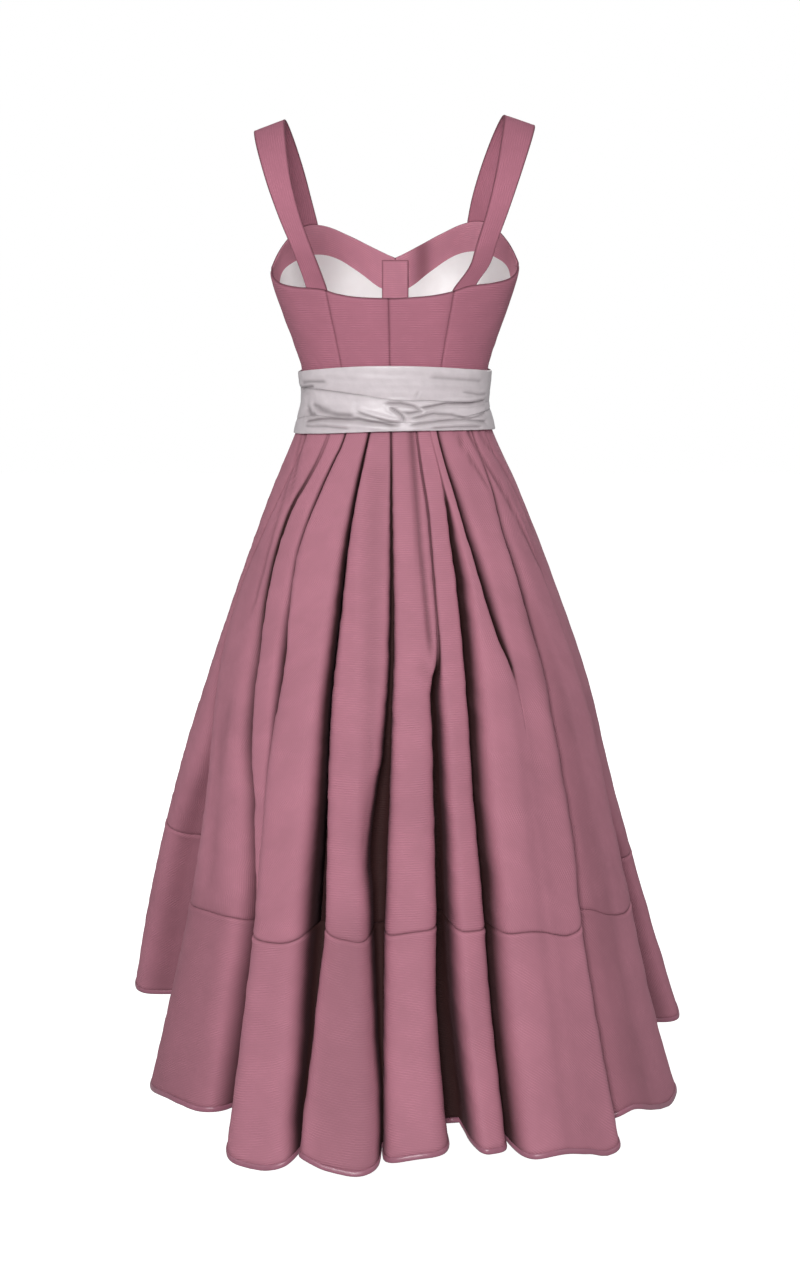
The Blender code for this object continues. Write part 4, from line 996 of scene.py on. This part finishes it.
# %% Finish the skirt's face
DRAPE, DRAPE_PITCH, DRAPE_STRETCH, DRAPE_FADE = 0.9 * MM, 0.05, 0.22, 0.15
OPEN_FACE = 0.5  # the smaller creases end where the cloth lies this deep in a fold
# painted shade: a dark line along the band's seam, its strength and half width
SEAM_SINK, SEAM_GLOOM, SEAM_SHADE_LINE = 1.4 * MM, 0.45, 1.3 * MM
ROLL_UP, ROLL_DOWN, ROLL_HALF = 0.7 * MM, 5 * MM, 2.5 * MM  # the band stands up just below its seam
skirt_out = out_of(skirt, closed=True)
skirt_share = (skirt[..., 2] - WAIST_SEAM_H) / (hem_height(skirt_phi) - WAIST_SEAM_H)
sunk, painted_dark = skirt_creases(skirt_phi, skirt_share)
down_run = np.concatenate([upper_rows * UPPER_LENGTH, UPPER_LENGTH + band_rows[1:] * BAND_LENGTH])[:, None]
from_seam = down_run - UPPER_LENGTH
skirt_run = np.cumsum(np.linalg.norm(np.diff(skirt, axis=1, prepend=skirt[:, -1:]), axis=2), axis=1)
uneven = DRAPE * ripple(skirt_run, down_run * DRAPE_STRETCH, DRAPE_PITCH, 91)
away = uneven * smooth_step(down_run / DRAPE_FADE) - SEAM_SINK * hump(from_seam, SEAM_REACH)
away = away + ROLL_UP * hump(from_seam - ROLL_DOWN, ROLL_HALF)
away = away - sunk * smooth_step(1 - skirt_shade / OPEN_FACE)
skirt_face = skirt + skirt_out * away[..., None]
skirt_shade = np.maximum(np.maximum(skirt_shade, painted_dark), SEAM_GLOOM * hump(from_seam, SEAM_SHADE_LINE))
skirt_out = out_of(skirt_face, closed=True)

# %% [markdown]
# The centre back panel and the side panels are cut from the same cloth, but the side panels are turned
# by a quarter, so that their ribs run down instead of across. The hem band is cut as a part of a wide
# ring, so its ribs turn slowly as they go round the hem.

# %% Skirt panels
SEAM_LAP = 0.3 * MM  # each panel laps this far over the next, so no light shows through a seam


def ring_piece(first_row, last_row, first_fold, last_fold):
    """The part of the ring between two rows and from one fold's foot to another's."""
    per_fold, total = FOLD_COLUMNS + 1, skirt.shape[1]
    first, wide = first_fold * per_fold, (last_fold - first_fold) * per_fold % total
    picked = np.arange(first, first + wide + 1) % total
    grid = skirt_face[first_row : last_row + 1][:, picked].copy()
    shade = skirt_shade[first_row : last_row + 1][:, picked]
    for here, beside in ((0, 1), (-1, -2)):
        grid[:, here] -= unit(grid[:, beside] - grid[:, here]) * SEAM_LAP
    return grid, shade


def with_allowance(grid, shade):
    """Adds the narrow seam allowance that lies pressed down behind the band."""
    down, away = unit(grid[-1] - grid[-3]), out_of(grid)[-2]
    rows = [grid[-1] + down * by - away * back for by, back in ALLOWANCE]
    return np.concatenate([grid, np.array(rows)]), np.concatenate([shade] + [shade[-1:]] * len(rows))


ALLOWANCE = ((0.4 * MM, 1.2 * MM), (1.2 * MM, 2.2 * MM), (6.0 * MM, 2.6 * MM))
PANELS = {
    # the folds it starts and ends at, and whether its cut is turned by a quarter
    "skirt_back": (8, 11, False),
    "skirt_left": (11, 16, True),
    "skirt_front": (16, 2, False),
    "skirt_right": (2, 8, True),
}
for node, (first_fold, last_fold, turned) in PANELS.items():
    grid, shade = with_allowance(*ring_piece(0, seam_row, first_fold, last_fold))
    flat = flat_pattern(grid)
    flat = flat[..., ::-1] if turned else flat
    piece = cloth(node + "_cloth", grid, SKIRT_CLOTH, flat, shade=shade, rim=SKIRT_RIM)
    hand_over(piece, node, rose_cotton)

# %% Hem band
BAND_CUT_RADIUS, BAND_GAP = 0.86, 0.3 * MM


def ring_cut(grid):
    """Flat places on a cut that is part of a ring: the seam is its inner edge."""
    plain = flat_pattern(grid)
    radius = BAND_CUT_RADIUS + plain[..., 1]
    turn = (plain[..., 0] / radius)[:1] * np.ones((len(grid), 1))
    return np.stack([radius * np.sin(turn), radius * np.cos(turn)], axis=-1)


BANDS = {"hem_band_back": (5, 15), "hem_band_front": (15, 5)}
for node, (first_fold, last_fold) in BANDS.items():
    grid, shade = ring_piece(seam_row, skirt.shape[0] - 1, first_fold, last_fold)
    grid[0] += unit(grid[1] - grid[0]) * BAND_GAP
    piece = cloth(node + "_cloth", grid, SKIRT_CLOTH, ring_cut(grid), shade=shade, rim=SKIRT_RIM)
    hand_over(piece, node, rose_cotton)

# %% [markdown]
# The hem is bound with a narrow strip of rose satin, wrapped round the lower edge and slightly puckered,
# so it stands a little proud of the cloth. Its section is a small roll, swept along the hem.

# %% Hem binding
BINDING_UP, BINDING_DROP, BINDING_PROUD, BINDING_IN = 2.0 * MM, 5.0 * MM, 0.9 * MM, 0.2 * MM
BINDING_CLOTH = 0.0006
PUCKER, PUCKER_PITCH = 0.18, 0.012
ROLL_SECTION = (
    # down the hem and out of it, from the top of its face round to the top of its back
    (-1.0, 0.2), (-0.8, 0.8), (-0.2, 1.0), (0.4, 0.9), (0.9, 0.4), (1.0, -0.4),
    (0.9, -1.2), (0.4, -1.8), (-0.2, -1.9), (-0.8, -1.7), (-1.0, -1.1),
)
hem, hem_out, along_hem = skirt_face[-1], skirt_out[-1], skirt_run[-1]
hem_down = unit(hem - skirt_face[-3])
pucker = 1 + PUCKER * ripple(along_hem, np.zeros(len(along_hem)), PUCKER_PITCH, 15)
roll = []
for down, out in ROLL_SECTION:
    down = (down + 1) / 2 * (BINDING_UP + BINDING_DROP) - BINDING_UP
    away = (out + 0.5) * BINDING_PROUD * pucker if out > 0 else (out - 0.5) * BINDING_PROUD
    roll.append(hem + hem_down * down + hem_out * (np.asarray(away)[..., None] - BINDING_IN))
roll = np.array(roll)
piece = cloth("hem_binding_cloth", roll, BINDING_CLOTH, flat_pattern(roll, closed=True), closed=True)
hand_over(piece, "hem_binding", rose_satin)

# %% [markdown]
# The sash is one long strip of satin wound round the waist, so it shows as three stretches that lap
# over each other. Each stretch is a ring whose upper and lower edges wander, and long soft creases run
# along it where the strip is pulled tight.

# %% Sash
SASH_STAND, SATIN_CLOTH = 0.0016, 0.0008
SASH_SECTIONS = (
    # h, half_width, back_depth, front_depth
    (-0.045, 0.137, 0.102, 0.1075), (-0.02, 0.1298, 0.0965, 0.1015), (0, 0.1244, 0.093, 0.099),
    (0.03, 0.1262, 0.0935, 0.1), (0.052, 0.1296, 0.095, 0.103),
)
SASH_EDGES = (
    # phi, top, upper_lap, lower_lap, bottom
    (-180, 0.048, 0.018, -0.012, -0.038), (-135, 0.046, 0.012, -0.01, -0.039),
    (-90, 0.04, 0.002, -0.008, -0.038), (-50, 0.045, 0.003, -0.013, -0.034),
    (-20, 0.0495, 0.008, -0.02, -0.0325), (0, 0.051, 0.009, -0.021, -0.033),
    (20, 0.05, 0.016, -0.019, -0.035), (50, 0.045, 0.021, -0.014, -0.039),
    (90, 0.039, 0.02, -0.023, -0.043), (135, 0.045, 0.017, -0.016, -0.04),
    (180, 0.048, 0.018, -0.012, -0.038),
)


def sash_point(phi, h, out):
    """The sash's middle surface, moved out by a distance."""
    width, back, front = [column(SASH_SECTIONS, number, h) + out for number in (1, 2, 3)]
    return np.stack([*soft_box(phi, width, width, back, front, BODY_ROUNDNESS), h], axis=-1)


# %% [markdown]
# A strip that is pulled tight round a waist never lies flat. It gets sharp creases where it is pinched,
# and the ends of a wrap tuck into a small leaf at the centre back. Each crease is a line on the unrolled
# sash, with a narrow groove along it and painted shade on it and below it.

# %% Creases of the sash
SASH_CREASES = (
    # depth and half width in mm, how dark its painted shade is, and its points as angle and height in mm
    (1.4, 1.3, 0.75, ((-11, -4), (-20, -1), (-29, 2), (-48, 1), (-70, 3))),
    (1.4, 1.3, 0.80, ((3, 1), (-1, -8), (-3, -12), (-5, -25))),
    (1.3, 1.5, 0.65, ((6, 2), (-2, 3), (-9, -1), (-13, -7), (-7, -10), (-1, -8))),
    (1.2, 1.6, 0.60, ((22, -7), (8, -17), (-4, -25))),
    (1.5, 2.4, 0.75, ((62, -25), (48, -20), (38, -18), (19, -18), (6, -22), (-3, -27))),
    (1.4, 4.0, 0.60, ((58, 0), (46, -8), (33, -13), (20, -14))),
    (1.5, 4.0, 0.65, ((66, -5), (57, -14), (48, -15))),
    (1.4, 2.0, 0.70, ((78, 16), (66, 20), (52, 23))),
    (1.0, 2.4, 0.45, ((72, 25), (58, 28), (40, 29))),
    (1.0, 2.0, 0.40, ((62, -31), (40, -29), (22, -31))),
    (1.2, 1.6, 0.60, ((-6, -18), (-20, -11), (-32, -13), (-48, -21), (-66, -26))),
    (1.0, 1.6, 0.50, ((-5, -26), (-23, -21), (-48, -19), (-70, -13))),
    (0.9, 1.6, 0.45, ((-16, -30), (-34, -29), (-58, -31))),
    (0.7, 2.5, 0.30, ((-16, 36), (-62, 28))),
    (0.8, 1.4, 0.35, ((-40, 16), (-58, 11), (-72, 10))),
    (0.6, 1.2, 0.25, ((-12, 22), (-10, 6))),
    (0.5, 1.2, 0.22, ((31, -3), (30, -12))),
    (0.9, 2.0, 0.25, ((100, 30), (150, 22), (190, 26))),
    (0.9, 2.0, 0.25, ((-100, 24), (-140, 34))),
    (0.9, 2.0, 0.25, ((110, -20), (160, -26))),
    (0.9, 2.0, 0.25, ((-90, -22), (-150, -14))),
)
SASH_REACH = 0.115
TAPER = 0.010  # a crease comes up and dies away over this length
GROOVE_GAIN, RIDGE, RIDGE_AWAY, RIDGE_HALF = 1.5, 0.45, 3.0, 1.6  # in depths and half widths
# the flank is painted shade below a crease
FLANK, FLANK_HALF = 0.45, 3.2  # the soft shade below a crease


def sash_creases(phi, h):
    """How far the creases sink the satin at places on it, and the painted shade along them."""
    sunk, painted_dark = np.zeros(phi.shape), np.zeros(phi.shape)
    around = np.radians(phi) * SASH_REACH
    for depth, half, shade, points in SASH_CREASES:
        line = [(math.radians(p[0]) * SASH_REACH, p[1] * MM) for p in points]
        away, below, passed = np.full(phi.shape, 1.0), np.zeros(phi.shape), np.zeros(phi.shape)
        total = 0.0
        for (ax, ay), (bx, by) in zip(line, line[1:]):
            length = math.hypot(bx - ax, by - ay)
            at = np.clip(((around - ax) * (bx - ax) + (h - ay) * (by - ay)) / length**2, 0.0, 1.0)
            off = np.hypot(around - ax - at * (bx - ax), h - ay - at * (by - ay))
            nearer = off < away
            below = np.where(nearer, ay + at * (by - ay) - h, below)
            passed = np.where(nearer, total + at * length, passed)
            away = np.minimum(away, off)
            total += length
        half = half * MM
        fade = within(passed, 0.0, total, TAPER)
        groove = fade * hump(away, half)
        ridge = fade * hump(away - RIDGE_AWAY * half, RIDGE_HALF * half)
        flank = fade * hump(away, FLANK_HALF * half) * smooth_step(below / half)
        sunk += GROOVE_GAIN * depth * MM * (groove - RIDGE * ridge)
        painted_dark = np.maximum(painted_dark, shade * np.maximum(groove, FLANK * flank))
    return sunk, painted_dark


print("creases in the sash:", len(SASH_CREASES))

# %% Sash stretches
SASH_COLUMNS, SASH_LAP = 480, 1.5 * MM
SASH_TALL, SASH_PITCH, SASH_ROWS = 0.025, 0.0008, (0.0, 0.0006, 0.0014, 0.0024)
SASH_PUFF, SASH_SWELL, DEEPEST = 1.2 * MM, 0.5 * MM, 1.9 * MM
SASH_SWELL_PITCH, SASH_SWELL_STRETCH = 0.012, 0.12
# painted shade under the edge of the stretch above
LAP_GLOOM, LAP_LINE = 0.8, 0.09  # the shade under the edge of the stretch above
phis = 180 - 360 * np.arange(SASH_COLUMNS) / SASH_COLUMNS
STRETCHES = {
    # the columns of its lower and upper edge, how far it stands out and laps down, and a seed
    "sash_lower": (4, 3, 0.0, 0.0, 51),
    "sash_middle": (3, 2, 0.8 * MM, 1.0 * MM, 52),
    "sash_upper": (2, 1, 1.8 * MM, SASH_LAP, 53),
}
for node, (low_column, high_column, lift, lap, seed) in STRETCHES.items():
    low, high = column(SASH_EDGES, low_column, phis) - lap, column(SASH_EDGES, high_column, phis)
    phi, share = np.meshgrid(phis, spaced(SASH_TALL, SASH_PITCH, SASH_ROWS))
    h = low + (high - low) * share
    around = np.radians(phi) * SASH_REACH
    arch = np.sin(math.pi * share)
    soft = SASH_SWELL * ripple(around * SASH_SWELL_STRETCH, h, SASH_SWELL_PITCH, seed) * arch
    sunk, painted_dark = sash_creases(phi, h)
    if node != "sash_upper":
        painted_dark = np.maximum(painted_dark, LAP_GLOOM * hump(1 - share, LAP_LINE))
    out = SASH_STAND + lift + soft + SASH_PUFF * arch**0.5 - np.minimum(sunk, DEEPEST)
    grid = sash_point(phi, h, out)
    flat = flat_pattern(grid, closed=True)
    piece = cloth(node + "_cloth", grid, SATIN_CLOTH, flat, closed=True, shade=painted_dark)
    hand_over(piece, node, silver_satin)

# %% [markdown]
# The light is plain and soft, as in a product studio: a dim even surround, a broad softbox behind the
# camera and a little above it, a weaker one in front of the dress that fills the bodice's inside, and a
# faint one on each side. The floor is plain and pale, and lies where the wearer's feet would stand.
# Floor and backdrop glow, so that they stay white without adding light to the folds, which have to stay
# dark at their depth.

# %% Light and floor
scene = bpy.context.scene
scene.view_settings.view_transform = "Standard"
SOFTBOXES = (
    # name, place, size, watts
    ("softbox_camera", (0.35, 3.1, 0.6), 1.1, 74.0),
    ("softbox_front", (-0.8, -3.0, 0.6), 1.1, 24.0),
    ("softbox_left", (2.8, 1.0, 0.3), 1.4, 9.0),
    ("softbox_right", (-2.8, 1.0, 0.3), 1.4, 9.0),
)
AIM = Vector((0.0, 0.0, -0.65))
SURROUND = 0.29
world = bpy.data.worlds.new("studio_surround")
world.use_nodes = True
surround = world.node_tree.nodes["Background"].inputs
surround["Color"].default_value, surround["Strength"].default_value = (1.0, 1.0, 1.0, 1.0), SURROUND
scene.world = world

for name, place, size, watts in SOFTBOXES:
    light = bpy.data.lights.new(name, "AREA")
    light.energy, light.size = watts, size
    lamp = bpy.data.objects.new(name, light)
    lamp.location = place
    lamp.rotation_euler = (AIM - Vector(place)).to_track_quat("-Z", "Y").to_euler()
    scene_objects.link(lamp)

FLOOR_DROP, FLOOR_HALF, BACKDROP_REACH = 0.25, 9.0, 12.0
floor_z = cad_box[0][2] - FLOOR_DROP
corners = [(x * FLOOR_HALF, y * FLOOR_HALF, floor_z) for x, y in ((-1, -1), (1, -1), (1, 1), (-1, 1))]
floor_mesh = bpy.data.meshes.new("studio_floor")
floor_mesh.from_pydata(corners, [], [(0, 1, 2, 3)])
bpy.ops.mesh.primitive_uv_sphere_add(segments=48, ring_count=24, radius=BACKDROP_REACH)
backdrop = bpy.context.object
backdrop.name = "studio_backdrop"
for name, mesh, paint, glow in (
    ("studio_floor", floor_mesh, 0.85, 0.80),
    ("studio_backdrop", backdrop.data, 0.0, 1.0),
):
    white = bpy.data.materials.new(name + "_white")
    white.use_nodes = True
    for key, value in {
        "Base Color": (paint, paint, paint, 1.0),
        "Roughness": 1.0,
        "Specular IOR Level": 0.0,
        "Emission Color": (1.0, 1.0, 1.0, 1.0),
        "Emission Strength": glow,
    }.items():
        white.node_tree.nodes["Principled BSDF"].inputs[key].default_value = value
    mesh.materials.append(white)
floor = bpy.data.objects.new("studio_floor", floor_mesh)
scene_objects.link(floor)
for stage in (floor, backdrop):
    stage.visible_diffuse = stage.visible_glossy = False
    stage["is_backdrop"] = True
backdrop.visible_shadow = False
print("floor at", round(floor_z, 3))

# %% Compare the boxes
visual_box = [[float(v) for v in corner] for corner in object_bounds()]
for axis in range(3):
    past = [round((visual_box[k][axis] - cad_box[k][axis]) * 1000, 1) for k in (0, 1)]
    print("xyz"[axis], past, "mm past the box")
